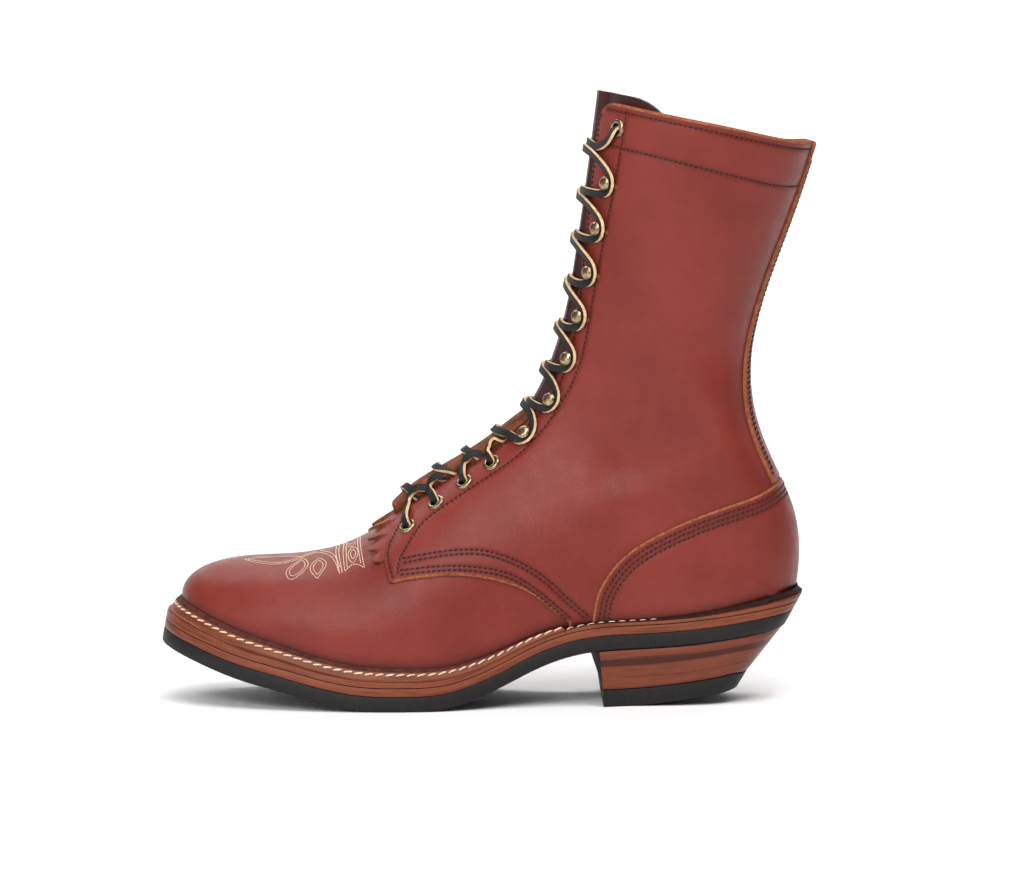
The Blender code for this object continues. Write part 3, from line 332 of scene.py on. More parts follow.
# Hardware on the quarters, as (x, z) seen from the side, from the bottom up.
EYELETS = ((-38.5, 86.1), (-24.9, 97.1), (-11.4, 106.8), (1.7, 115.9), (61.2, 276.0))
HOOKS = (
    (17.7, 129.9),
    (29.8, 145.7),
    (38.0, 165.4),
    (43.3, 185.6),
    (48.2, 206.8),
    (52.0, 228.0),
    (56.4, 249.7),
)
# How far above the leather the middle of each kind of hardware is seen.
HARDWARE_SEEN = {"eyelet": 0.8, "hook": 2.1}
EYELET_HOLE = 2.5
EYELET_PROFILE = ((2.3, -2.2), (2.3, 0.3), (2.6, 0.85), (3.15, 1.1), (3.8, 1.0), (4.3, 0.6), (4.5, 0.0))
HOOK_PROFILE = (
    (0.0, 4.5),
    (1.2, 4.45),
    (2.2, 4.25),
    (2.8, 3.85),
    (3.25, 3.3),
    (3.15, 2.85),
    (1.5, 2.7),
    (1.4, 0.6),
    (3.2, 0.5),
    (3.4, 0.0),
)
TURNED_STEPS = 28

# Lace: flat leather, out of the lower eyelets, round the hooks, and into the top eyelets.
LACE_WIDTH = 3.7
LACE_THICKNESS = 1.9
LACE_CHAMFER = 0.25
LACE_STEP = 0.7
# Out of each lower eyelet the lace climbs over the quarter's edge at a row, this high above the upper.
LACE_EDGE_ROWS = (8.53, 9.12, 10.15, 11.0)
LACE_EDGE_LIFT = 3.6
LACE_ROLLS = (30.0, 30.0, 30.0, 62.0)
LACE_TUCK_ROLLS = (-45.0, -45.0, -45.0, 20.0)
# Strands from the outer side then tuck in beside the fold: row, share of its half width, height above it.
LACE_TUCKS = (
    ((8.8, 0.95, 1.2), (8.92, 0.97, 1.0), (9.08, 0.98, -1.5)),
    ((9.3, 0.96, 1.0), (9.42, 0.96, 0.8), (9.52, 0.98, -1.5)),
    ((10.32, 0.96, 1.3), (10.53, 0.93, 1.3), (10.74, 0.97, -1.5)),
    ((11.2, 0.88, 1.2), (11.38, 0.85, 1.0), (11.54, 0.95, -1.5)),
)
LACE_TUCK_ROWS = 0.12
# Strands from the inner side cross the fold's top at a row, and all but the last dive beside it at another.
LACE_FOLD_ROWS = (8.62, 9.5, 10.38, 11.55)
# On the fold's top: rows past the crossing, share of the half width, below 0 on the side where the strand
# comes from, and height above the fold.
LACE_OVER_FOLD = ((-0.06, -0.8, 1.0), (0.0, 0.0, 1.2), (0.08, 0.7, 1.0))
LACE_DIVE_ROWS = (8.74, 9.84, 10.62)
LACE_DIVE = (0.93, -2.2)
# Behind the leather: depth under the upper's wall, and where a strand lies beside the eyelet and the throat.
LACE_BEHIND, LACE_END_BEHIND = 1.0, 2.5
LACE_START_ROWS, LACE_START_SHARE = 0.02, 0.9
LACE_BEHIND_SHARE = 1.1
# Round a hook: steps up along the throat and away from it, height above the quarter, and roll.
LACE_ROUND_HOOK = (
    (-5.6, -3.4, 2.2, -20.0),
    (-4.6, 0.4, 1.7, 8.0),
    (-0.9, 3.2, 1.6, 26.0),
    (2.6, 2.8, 1.8, 30.0),
    (6.2, -0.4, 2.4, 25.0),
)
LACE_INTO_TOP = (
    (-7.0, -3.0, 2.6, 20.0),
    (-3.0, -0.2, 2.8, 30.0),
    (-0.3, 0.1, 1.4, 15.0),
    (0.0, 0.0, -1.5, 0.0),
)
LACE_OUT_OF_EYELET = ((0.2, 0.0, -1.0, 10.0), (0.5, -0.4, 2.2, 26.0))
# Strands from each side cross the tongue at a share of the way to the next hook, some over and some under.
LACE_CROSS_SHARE = {OUTER: 0.45, INNER: 0.58}
LACE_OVER, LACE_UNDER = 2.6, 1.1
# Sides of the lace's section that are cut edges.
LACE_CUT_SIDES = [3, 7]

# Seams, as (x, z) seen from the side.
EYESTAY_SEAM = (
    (66.2, 284.5),
    (64.3, 271.5),
    (56.4, 227.8),
    (49.3, 188.1),
    (43.1, 160.1),
    (33.5, 141.2),
    (22.0, 126.3),
    (11.4, 116.7),
    (-4.9, 105.7),
    (-21.3, 94.8),
    (-32.3, 85.9),
    (-38.4, 76.9),
    (-42.2, 69.3),
    (-42.6, 64.4),
)
LOWER_SEAM = ((-41.6, 65.3), (-14.9, 67.5), (-0.5, 66.3), (11.9, 63.1), (24.3, 55.2), (39.2, 42.2))
UPPER_SEAM = (
    (-40.5, 70.6),
    (-14.9, 74.8),
    (-0.5, 74.3),
    (13.3, 69.9),
    (26.7, 62.2),
    (38.2, 51.5),
    (47.9, 43.0),
)
DOUBLE_ROW_GAP = 1.0
FRONT_SEAM_INSET = 2.2
FRONT_SEAM_POINTS = slice(1, -3)
COLLAR_SEAMS = (3.3, 21.2)
COLLAR_SEAM_START = 22.0
COLLAR_SEAM_START_ROW = COLLAR_ROW - 0.3
COLLAR_SEAM_LAST_TURN = 0.955
COLLAR_SEAM_POINTS = 160
COUNTER_SEAMS = (3.0, 5.2, 7.4)
BACKSTAY_SEAMS = (3.4, 6.0)
WELT_SEAM_END_X = 87.0
WELT_SEAM_SHARE, RAND_SEAM_SHARE = 0.3, 0.4
# Rows along which seams are followed, as first, last and step.
THROAT_SEAM_ROWS = (8.35, COLLAR_ROW - 0.1, 0.05)
COUNTER_SEAM_ROWS = (10.2, 17.75, 0.04)
BACKSTAY_SEAM_ROWS = (17.75, COLLAR_ROW - 0.1, 0.06)

# Toe stitch: lines as (x of the ridge, distance from the ridge), the same on both sides.
TOE_STITCH = (
    ((-116.8, 10.5), (-112, 16.6), (-106, 20.6), (-100, 21.8), (-94, 19.6), (-89.0, 14.6), (-82.0, 6.0)),
    ((-115, 11), (-111, 14.6), (-105.5, 18.2), (-100, 19.6), (-94.5, 17.4), (-89.8, 13.0), (-83.6, 4.5)),
    ((-116.8, 10.5), (-110.0, 9.0), (-102.0, 8.6), (-94.0, 10.0), (-88.5, 13.8)),
    ((-88.3, 16.0), (-86.0, 24.0), (-88.4, 32.5), (-94.4, 37.0), (-96.2, 33.0), (-93.6, 24.5), (-88.3, 16.0)),
    ((-88.8, 19.0), (-87.4, 25.0), (-89.4, 31.6), (-93.6, 34.6), (-94.7, 31.6), (-92.6, 25.4), (-88.8, 19.0)),
    ((-80.6, 19.5), (-77.4, 27.5), (-78.6, 33.0), (-81.6, 38.8)),
    ((-80.6, 19.5), (-84.4, 26.5), (-84.6, 32.5), (-81.6, 38.8)),
    ((-80.8, 22.5), (-78.9, 28.0), (-79.6, 32.4), (-81.5, 36.2)),
    ((-80.8, 22.5), (-83.0, 27.0), (-83.2, 32.0), (-81.5, 36.2)),
    ((-84.0, 4.0), (-77.4, 15.0), (-71.6, 38.0)),
    ((-80.5, 4.0), (-75.6, 14.0), (-71.2, 34.0)),
    ((-72.6, 2.0), (-72.8, 18.0), (-71.6, 38.0)),
    ((-71.2, 2.0), (-71.4, 18.0), (-70.4, 38.0)),
    ((-69.0, 2.0), (-69.4, 18.0), (-69.2, 37.6)),
    ((-67.8, 2.0), (-68.0, 18.0), (-68.0, 36.0)),
    ((-69.2, 37.6), (-65.4, 34.6), (-60.8, 39.0)),
    ((-65.0, 17.0), (-67.2, 25.0), (-65.2, 33.0), (-62.6, 26.0), (-65.0, 17.0)),
    ((-65.0, 20.5), (-66.0, 25.4), (-65.0, 30.0), (-63.7, 25.8), (-65.0, 20.5)),
    ((-67.4, 12.5), (-65.0, 15.5), (-62.8, 12.5)),
    ((-67.4, 8.0), (-65.0, 11.0), (-62.8, 8.0)),
    ((-61.2, 2.0), (-61.2, 22.0), (-60.8, 39.0)),
    ((-62.4, 2.0), (-62.4, 22.0), (-62.0, 36.0)),
)
# Rows of the vamp that the toe stitch lies on.
TOE_STITCH_ROWS = (2.0, 9.0)

# Threads: spacing, length and radius of the stitches, and how far they lie across their row, in degrees.
THREAD_COLUMNS = "pitch length radius slant".split()
THREADS = {
    "upper": (2.5, 2.0, 0.34, 9.0),
    "welt": (5.0, 4.4, 0.42, 13.0),
    "toe": (1.4, 1.1, 0.21, 0.0),
}
# Rings of a stitch: share of its half length, and of its radius. It dips into the leather at both ends.
STITCH_RINGS = ((-1.0, 0.35), (-0.72, 0.85), (-0.3, 1.0), (0.3, 1.0), (0.72, 0.85), (1.0, 0.35))
STITCH_RISE, STITCH_DIP = 0.55, 1.1
STITCH_SIDES = 6
# How far before and behind a stitch its direction is read.
STITCH_REACH = 0.5

# Soft creases of shaft and vamp, as lines seen from the side, with their rise and half width.
CREASES = (
    ((58.0, 112.0), (104.0, 128.0), -0.9, 8.0),
    ((60.0, 132.0), (108.0, 150.0), 0.7, 9.0),
    ((50.0, 96.0), (92.0, 104.0), 0.6, 8.0),
    ((-2.0, 92.0), (40.0, 118.0), -0.5, 9.0),
    ((70.0, 160.0), (112.0, 172.0), -0.5, 9.0),
    ((-58.0, 60.0), (-40.0, 46.0), -0.4, 8.0),
    ((-20.0, 50.0), (12.0, 44.0), -0.4, 8.0),
)

# Mesh fineness, as rows, columns, samples and steps.
NET_ROWS = np.linspace(0.0, COLLAR_ROW + 1, 10 * (COLLAR_ROW + 1) + 1)
NET_TURNS = np.linspace(0.0, 1.0, 61)
UPRIGHT_TURNS = (0.6, 0.9)
UPRIGHT_END_ROW, SEAT_END_ROW = HEEL_ROW + 1.5, HEEL_ROW + 1.0
ROWS_PAST_COLLAR = 0.3
UPPER_ROW_STRETCHES = ((0.0, 9.6, 0.1), (9.6, COLLAR_ROW + ROWS_PAST_COLLAR, 0.2))
UPPER_COLUMNS = 80
QUARTER_ROW_STEP = 0.05
QUARTER_COLUMNS = 110
OVERLAY_ROW_STEP = 0.07
OVERLAY_COLUMNS = 60
TONGUE_ROW_STEP = 0.12
TONGUE_COLUMNS = 26
SOLE_POINTS = 150
SOLE_SAMPLES, BASE_SAMPLES = 1500, 3000
SOLE_EDGE_MEAN = 7.0
LEVEL_TURNS = 240
TURN_SAMPLES = 60
TOE_SAMPLES = 400
EDGE_STEP, SEAM_STEP, TOE_STEP = 1.5, 1.0, 0.8
SMALL_STEP = 0.01
PACE_STEP = 0.1
HALVINGS = 40
CONTOUR_FIRST_TURN = 0.02
LOCATE_ROUNDS, LOCATE_STEP, LOCATE_MOST = 10, 1e-3, 0.15

# Angles, in degrees, above which edges stay sharp.
SOLE_SHARP, STRIP_SHARP, BRASS_SHARP, THREAD_SHARP = 50.0, 40.0, 45.0, 60.0

# Finishes: colour of rubbed leather, depth of a seam's groove, and scale of the streaks along the sole.
WORN_LEATHER = (0.42, 0.13, 0.045)
SEAM_DEPTH = 0.35
STREAK_SHRINK = 0.05

# Camera and stage: the photograph's view, from outside the foot and a little above.
CAMERA_PLACE = (0.0119, -2.990, 0.392)
CAMERA_LOOK = (0.0119, 0.0, 0.1255)
CAMERA_WIDTH_SEEN = 0.4922
SENSOR = 36.0
FLOOR_FRONT, FLOOR_BACK, FLOOR_SIDE, BACKDROP_BEND, BACKDROP_TOP = -4.0, 2.2, 6.0, 0.8, 3.0
BACKDROP_STEPS = 13
# Soft lights: place, what they face, size in metres, and watts.
LIGHTS = {
    "key": ((-0.65, -2.2, 1.35), (-0.03, 0.0, 0.1), (1.1, 0.9), 34.0),
    "low": ((-1.8, -1.6, 0.6), (-0.03, 0.0, 0.1), (0.7, 0.7), 7.0),
    "top": ((0.3, -1.0, 2.1), (0.0, 0.0, 0.0), (2.0, 1.5), 46.0),
    "back": ((0.0, 1.5, 2.4), (0.0, 2.1, 0.2), (4.0, 1.0), 72.0),
}
WORLD_LIGHT = 0.14


def spline(knots, values):
    """A natural cubic spline through the values, for one column or several."""
    knots = np.asarray(knots, float)
    values = np.asarray(values, float)
    count = len(knots)
    steps = np.diff(knots)
    matrix = np.eye(count)
    right = np.zeros_like(values)
    for i in range(1, count - 1):
        matrix[i, i - 1 : i + 2] = steps[i - 1], 2 * (steps[i - 1] + steps[i]), steps[i]
        slope_after = (values[i + 1] - values[i]) / steps[i]
        slope_before = (values[i] - values[i - 1]) / steps[i - 1]
        right[i] = 6 * (slope_after - slope_before)
    bend = np.linalg.solve(matrix, right)

    def at(where):
        where = np.asarray(where, float)
        i = np.clip(np.searchsorted(knots, where) - 1, 0, count - 2)
        step = steps[i]
        left = (knots[i + 1] - where) / step
        share = (where - knots[i]) / step
        if values.ndim > 1:
            left, share, step = left[..., None], share[..., None], step[..., None]
        curve = (left**3 - left) * bend[i] + (share**3 - share) * bend[i + 1]
        return left * values[i] + share * values[i + 1] + curve * step**2 / 6

    return at


def table_spline(table):
    rows = np.array(table, float)
    values = rows[:, 1] if rows.shape[1] == 2 else rows[:, 1:]
    return spline(rows[:, 0], values)


def by_column(table, names):
    return dict(zip(names, np.array(table, float).T))


def smooth_step(share):
    share = np.clip(share, 0, 1)
    return share * share * (3 - 2 * share)


def eased(value, ends):
    """A smooth rise from 0 at the first end to 1 at the second."""
    return smooth_step((value - ends[0]) / (ends[1] - ends[0]))


def unit(vectors):
    """Vectors of length one in the same directions."""
    return vectors / np.linalg.norm(vectors, axis=-1, keepdims=True)


def left_of(run):
    """Unit vectors to the left of runs in a plane."""
    run = unit(run)
    return np.stack([-run[..., 1], run[..., 0]], axis=-1)


def way_along(line):
    """How far each point of a line lies from its start, along it."""
    return np.concatenate([[0.0], np.cumsum(np.linalg.norm(np.diff(line, axis=0), axis=1))])


def read_along(where, way, values):
    """Rows of values, one for each place on a way, read at other places."""
    return np.stack([np.interp(where, way, column) for column in values.T], axis=1)


SOLE_LINE_AT = table_spline(SOLE_LINE)
SOLE_EDGE_AT = table_spline(SOLE_EDGE)


def half_gap(row):
    """Half gap of the throat at a row, below the collar's front corner."""
    return np.interp(row, *np.array(THROAT_GAP).T)


def sole_line(x):
    """Height of the outsole's underside, never below the floor."""
    return np.maximum(SOLE_LINE_AT(x), 0.0)


def above_sole(points):
    """Height of points above the outsole's underside."""
    return points[..., 2] - sole_line(points[..., 0])


def mirrored_ends(table, level, ends):
    """A table with two more rows past one end or both, mirrored so that the tip comes out round."""
    rows = [table]
    for end in ends:
        near = table[1:3][::-1] if end == 0 else table[-3:-1][::-1]
        more = 2 * table[end] - near
        more[:, level] = near[:, level]
        rows.insert(0 if end == 0 else len(rows), more)
    return np.vstack(rows)


def section_splines():
    """Splines over the row number: the arch of every section, the edge of the last's bottom, and the back."""
    foot, shaft = by_column(FOOT_SECTIONS, FOOT_COLUMNS), by_column(SHAFT_SECTIONS, SHAFT_COLUMNS)
    foot["back_round"] = np.full(len(FOOT_SECTIONS), HEEL_BACK_RULE)
    shaft["ridge_y"] = np.zeros(len(SHAFT_SECTIONS))
    shaft["wide_out"], shaft["wide_in"] = -shaft["half_width"], shaft["half_width"]
    arches = np.stack([np.concatenate([foot[name], shaft[name]]) for name in ARCH_COLUMNS], axis=1)
    level = [ARCH_COLUMNS.index(name) for name in ("ridge_x", "widest", "round", "back_round")]
    arch_at = spline(np.arange(-2, len(arches)), mirrored_ends(arches, level, (0,)))
    bases = np.stack([foot[name] for name in BASE_COLUMNS], axis=1)
    base_at = spline(np.arange(-2, HEEL_ROW + 3), mirrored_ends(bases, [0], (0, -1)))
    seat_x = bases[-1, 0]
    seat = (seat_x, float(sole_line(seat_x)) + SEAT)
    backs = np.vstack([seat, np.stack([shaft["back_x"], shaft["back_z"]], axis=1)])
    return arch_at, base_at, spline(np.arange(HEEL_ROW, HEEL_ROW + len(backs)), backs)


ARCH_AT, BASE_AT, BACK_AT = section_splines()


def together(row, turn, side):
    """Rows, turns and sides as arrays of one shape."""
    return np.broadcast_arrays(np.asarray(row, float), np.asarray(turn, float), side)


def section(row):
    """The named sizes of the section at a row number, whole or between rows."""
    row = np.asarray(row, float)
    arch = ARCH_AT(row)
    sizes = {name: arch[..., i] for i, name in enumerate(ARCH_COLUMNS)}
    on_sole = row <= HEEL_ROW
    base, back = BASE_AT(np.minimum(row, HEEL_ROW)), BACK_AT(np.maximum(row, HEEL_ROW))
    sizes["base_x"] = np.where(on_sole, base[..., 0], back[..., 0])
    sizes["base_z"] = np.where(on_sole, sole_line(base[..., 0]) + SEAT, back[..., 1])
    sizes["base_out"] = np.where(on_sole, base[..., 1], 0.0)
    sizes["base_in"] = np.where(on_sole, base[..., 2], 0.0)
    return sizes


def side_widths(sizes, side):
    """Width of one half at its widest, and the share of that width which is left at the base."""
    outer = np.asarray(side) == OUTER
    width = (np.where(outer, sizes["wide_out"], sizes["wide_in"]) - sizes["ridge_y"]) * side
    left = (np.where(outer, sizes["base_out"], sizes["base_in"]) - sizes["ridge_y"]) * side
    share = np.where(width > 0.01, left / np.maximum(width, 0.01), 1.0)
    return width, np.clip(share, 0.0, 1.0)


def surface(row, turn, side):
    """Point of the upper's outer face. turn is 0 at the ridge, 0.5 at the widest place and 1 at the base."""
    row, turn, side = together(row, turn, side)
    sizes = section(row)
    width, share = side_widths(sizes, side)
    front = 2.0 / sizes["round"]
    back = 2.0 / sizes["back_round"]
    arch = np.clip(turn, 0.0, 0.5) * math.pi
    last = np.arccos(np.clip(share ** (1.0 / back), 0.0, 1.0))
    tuck = np.clip(turn - 0.5, 0.0, 0.5) * 2.0 * last
    tuck_sine = np.sin(np.maximum(last, 1e-4)) ** back
    past = sizes["widest"] + (1 - sizes["widest"]) * np.sin(tuck) ** back / tuck_sine
    flat = np.clip(turn - 0.5, 0.0, 0.5) * 2.0 * (1 - sizes["widest"]) + sizes["widest"]
    past = np.where(last > 1e-3, past, flat)
    before = sizes["widest"] * (1 - np.cos(arch) ** front)
    along = np.where(turn <= 0.5, before, past)
    spread = np.where(turn <= 0.5, np.sin(arch) ** front, np.cos(tuck) ** back)
    x = sizes["ridge_x"] + (sizes["base_x"] - sizes["ridge_x"]) * along
    z = sizes["ridge_z"] + (sizes["base_z"] - sizes["ridge_z"]) * along
    y = sizes["ridge_y"] + side * width * spread
    return np.stack([x, y, z], axis=-1)


def normal_net(side):
    """Normals on a fine net of rows and turns, which turn level towards the sole."""
    points = surface(NET_ROWS[:, None], NET_TURNS[None, :], side)
    across = points[1:, 1:] - points[:-1, :-1]
    other = points[1:, :-1] - points[:-1, 1:]
    faces = np.cross(other, across) * side
    net = np.zeros_like(points)
    for rows in (slice(None, -1), slice(1, None)):
        for turns in (slice(None, -1), slice(1, None)):
            net[rows, turns] += faces
    near_sole = smooth_step(UPRIGHT_END_ROW - NET_ROWS)[:, None]
    net[..., 2] *= 1 - near_sole * eased(NET_TURNS, UPRIGHT_TURNS)
    return net


def shared_normals():
    """The nets of both sides, with one normal for both where they meet at the toe, the ridge and the back."""
    nets = {side: normal_net(side) for side in SIDES.values()}
    both = sum(nets.values())
    both[..., 1] = 0.0
    seam = np.zeros(both.shape[:2], bool)
    seam[0] = True
    seam[:, 0] = True
    seam[NET_ROWS >= HEEL_ROW - 1e-6, -1] = True
    shared = []
    for side in (OUTER, INNER):
        net = np.where(seam[..., None], both, nets[side])
        shared.append(net / np.maximum(np.linalg.norm(net, axis=-1, keepdims=True), 1e-9))
    return np.array(shared)


NORMALS = shared_normals()


def outward(row, turn, side):
    """Unit normal of the upper's outer face, read from the net."""
    row, turn, side = together(row, turn, side)
    across = np.clip(row / (NET_ROWS[1] - NET_ROWS[0]), 0, len(NET_ROWS) - 1.001)
    down = np.clip(turn / (NET_TURNS[1] - NET_TURNS[0]), 0, len(NET_TURNS) - 1.001)
    i, j = across.astype(int), down.astype(int)
    a, b = (across - i)[..., None], (down - j)[..., None]
    k = np.where(side == OUTER, 0, 1)
    normal = (NORMALS[k, i, j] * (1 - a) + NORMALS[k, i + 1, j] * a) * (1 - b)
    normal = normal + (NORMALS[k, i, j + 1] * (1 - a) + NORMALS[k, i + 1, j + 1] * a) * b
    return unit(normal)


def from_segment(points, start, end):
    """Distance of points in a plane from a straight line between two others."""
    start, run = np.asarray(start, float), np.subtract(end, start)
    share = np.clip((points - start) @ run / (run @ run), 0.0, 1.0)
    return np.linalg.norm(points - start - share[..., None] * run, axis=-1)


def crease_rise(points):
    """How much the soft creases lift or sink the leather at points of the upper's face."""
    seen = points[..., [0, 2]]
    rise = np.zeros(points.shape[:-1])
    for start, end, height, width in CREASES:
        rise += height * np.exp(-((from_segment(seen, start, end) / width) ** 2))
    return rise


def raised(row, turn, side, height):
    """Point at a height above the upper's face, creases included, which follows the seat near the sole."""
    row, turn, side = together(row, turn, side)
    base = surface(row, turn, side)
    high = np.asarray(height, float) + crease_rise(base)
    point = base + outward(row, turn, side) * high[..., None]
    climb = sole_line(point[..., 0]) - sole_line(base[..., 0])
    point[..., 2] += climb * eased(turn, UPRIGHT_TURNS) * smooth_step(SEAT_END_ROW - row)
    return point


def turn_at_width(row, distance, side):
    """The turn, in front of the widest place, that lies this far from the ridge's plane."""
    sizes = section(row)
    width, _ = side_widths(sizes, side)
    share = np.clip(np.asarray(distance, float) / np.maximum(width, 0.01), 0.0, 1.0)
    return np.arcsin(share ** (sizes["round"] / 2.0)) / math.pi


def row_at_base(x):
    """Row number whose base lies at this x on the sole."""
    rows = np.linspace(0, HEEL_ROW, BASE_SAMPLES)
    return float(np.interp(x, section(rows)["base_x"], rows))


def outline(row, side, offset):
    """Plan point at an offset outside the base of the upper."""
    row = np.asarray(row, float)
    across = BASE_COLUMNS.index("base_out" if side == OUTER else "base_in")
    place = [0, across]
    run = (BASE_AT(row + SMALL_STEP) - BASE_AT(row - SMALL_STEP))[..., place]
    away = left_of(run) * side
    return BASE_AT(row)[..., place] + away * np.asarray(offset, float)[..., None]


def heel_back_x(z):
    share = np.clip(np.asarray(z, float) / HEEL_BACK_TOP[1], 0.0, 1.1)
    return HEEL_BACK_FLOOR_X + (HEEL_BACK_TOP[0] - HEEL_BACK_FLOOR_X) * share


def drawn_in(plan, z):
    """Plan point of the sole's edge, drawn in under the heel as its height falls."""
    x, y = plan[..., 0], plan[..., 1]
    stretch = (heel_back_x(z) - HEEL_PIVOT_X) / (HEEL_BACK_TOP[0] - HEEL_PIVOT_X)
    narrow = 1 - HEEL_SIDE_DRAW * eased(x, HEEL_DRAW_RAMP) * (1 - np.clip(z / HEEL_BACK_TOP[1], 0.0, 1.0))
    x = np.where(x > HEEL_PIVOT_X, HEEL_PIVOT_X + (x - HEEL_PIVOT_X) * stretch, x)
    return np.stack([x, y * narrow], axis=-1)


def sole_point(row, side, level, inset=0.0):
    """Point at a level above the sole line, on the sole's edge or somewhat inside it."""
    row = np.asarray(row, float)
    base_x = section(row)["base_x"]
    lean = TOE_LEAN * eased(base_x, TOE_LEAN_RAMP)
    offset = SOLE_EDGE_AT(base_x) - inset - lean * np.clip(level / TOE_LEAN_HEIGHT, 0.0, 1.0)
    plan = outline(row, side, offset)
    plan = drawn_in(plan, sole_line(plan[..., 0]) + level)
    return np.concatenate([plan, (sole_line(plan[..., 0]) + level)[..., None]], axis=-1)


def smooth_line(points, step):
    """Points about this far apart along a smooth curve through the given ones."""
    points = np.array(points, float)
    way = way_along(points)
    return spline(way, points)(np.linspace(0.0, way[-1], max(2, int(way[-1] / step) + 1)))


def moved_aside(line, distance):
    """A line in a plane, moved to its left by a distance."""
    return line + left_of(np.gradient(line, axis=0)) * distance


def evenly(line, count):
    """The same line with this many points, evenly spaced along it."""
    way = way_along(line)
    return read_along(np.linspace(0.0, way[-1], count), way, line)


def inside_distance(points, shape):
    """Distance of points in a plane from a closed outline, positive inside it."""
    shape = np.asarray(shape, float)
    nearest = np.full(points.shape[:-1], np.inf)
    inside = np.zeros(points.shape[:-1], bool)
    for start, end in zip(shape, np.roll(shape, -1, axis=0)):
        if np.allclose(start, end):
            continue
        nearest = np.minimum(nearest, from_segment(points, start, end))
        crosses = (start[1] > points[..., 1]) != (end[1] > points[..., 1])
        rise = np.where(end[1] == start[1], 1.0, end[1] - start[1])
        at = start[0] + (points[..., 1] - start[1]) / rise * (end[0] - start[0])
        inside ^= crosses & (points[..., 0] < at)
    return np.where(inside, nearest, -nearest)


def placed(points):
    """Points of the drawing in metres from the origin."""
    return (np.asarray(points, float) - CENTRE) * MM


def make_piece(name, points, faces, finishes, replaced=(), kinds=None, fields=None, sharp=35.0):
    """A smooth mesh from points of the drawing, which rides on the boot and stands for some nodes.

    kinds says which of the finishes each face has, and fields gives values for the finishes at each point.
    """
    mesh = bpy.data.meshes.new(name)
    mesh.from_pydata(placed(points).tolist(), [], faces)
    for finish in finishes:
        mesh.materials.append(finish)
    if kinds is not None:
        mesh.polygons.foreach_set("material_index", np.asarray(kinds, np.int32))
    for field, values in (fields or {}).items():
        layer = mesh.attributes.new(field, "FLOAT", "POINT")
        layer.data.foreach_set("value", np.asarray(values, np.float32))
    mesh.polygons.foreach_set("use_smooth", np.ones(len(mesh.polygons), bool))
    mesh.set_sharp_from_angle(angle=math.radians(sharp))
    mesh.validate()
    thing = bpy.data.objects.new(name, mesh)
    bpy.context.scene.collection.objects.link(thing)
    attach(thing, "root")
    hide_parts(*replaced)
    return thing


def joined(parts):
    """Points, faces and face finishes of several meshes as one."""
    points, faces, finishes = [], [], []
    shift = 0
    for part_points, part_faces, part_finishes in parts:
        points.append(np.asarray(part_points, float).reshape(-1, 3))
        faces += [[i + shift for i in face] for face in part_faces]
        finishes += list(part_finishes)
        shift += len(points[-1])
    return np.concatenate(points), faces, finishes


def quads(net):
    """Square faces of a net of point numbers."""
    return np.stack([net[:-1, :-1], net[:-1, 1:], net[1:, 1:], net[1:, :-1]], axis=-1).reshape(-1, 4).tolist()


def tube_faces(rings, sides, capped=True):
    """Faces of a tube of rings with some sides each, closed at its ends or open."""
    net = np.arange(rings * sides).reshape(rings, sides)
    faces = quads(np.concatenate([net, net[:, :1]], axis=1))
    return faces + [net[0].tolist(), net[-1][::-1].tolist()] if capped else faces


# Leather sheets on the upper


def even_turns(rows, start, end, side, count):
    """Turns from start to end of each row, evenly spaced over the leather."""
    fine = np.linspace(0.0, 1.0, TURN_SAMPLES)
    turns = start[:, None] + (end - start)[:, None] * fine
    points = surface(rows[:, None], turns, side)
    way = np.linalg.norm(np.diff(points, axis=1), axis=2)
    way = np.concatenate([np.zeros((len(rows), 1)), np.cumsum(way, axis=1)], axis=1)
    way += 1e-6 * fine
    shares = np.linspace(0.0, 1.0, count)
    return np.array([np.interp(shares * w[-1], w, t) for w, t in zip(way, turns)])


def patch(rows, turns, side):
    """Places (row, turn, side) of a net over one side, and its faces."""
    rows = rows if rows.ndim == 2 else np.broadcast_to(rows[:, None], turns.shape)
    places = np.stack([rows, turns, np.full(turns.shape, side)], axis=-1)
    return places.reshape(-1, 3), quads(np.arange(turns.size).reshape(turns.shape))


def split(places, faces, values, level):
    """Faces divided along the line where the values of their points reach a level."""
    above = values >= level
    places = list(places)
    cuts = {}

    def cut_between(a, b):
        key = (min(a, b), max(a, b))
        if key not in cuts:
            share = (level - values[a]) / (values[b] - values[a])
            cuts[key] = len(places)
            places.append(places[a] + (places[b] - places[a]) * share)
        return cuts[key]

    divided = []
    for face in faces:
        states = [above[i] for i in face]
        if all(states) or not any(states):
            divided.append(face)
            continue
        halves = {True: [], False: []}
        for a, b in zip(face, face[1:] + face[:1]):
            halves[bool(above[a])].append(a)
            if above[a] != above[b]:
                between = cut_between(a, b)
                halves[True].append(between)
                halves[False].append(between)
        divided += [half for half in halves.values() if len(half) > 2]
    return np.array(places), divided


def trimmed(places, faces, field):
    """A patch cut off where the field falls below zero, with a line of points a little inside its edge."""
    for level in (0.0, EDGE_ROUNDING):
        places, faces = split(places, faces, field(places), level)
    values = field(places)
    faces = [face for face in faces if np.mean(values[face]) > 0]
    used = np.unique(np.concatenate([np.array(face) for face in faces]))
    number = np.full(len(places), -1)
    number[used] = np.arange(len(used))
    return places[used], [number[face].tolist() for face in faces], values[used]


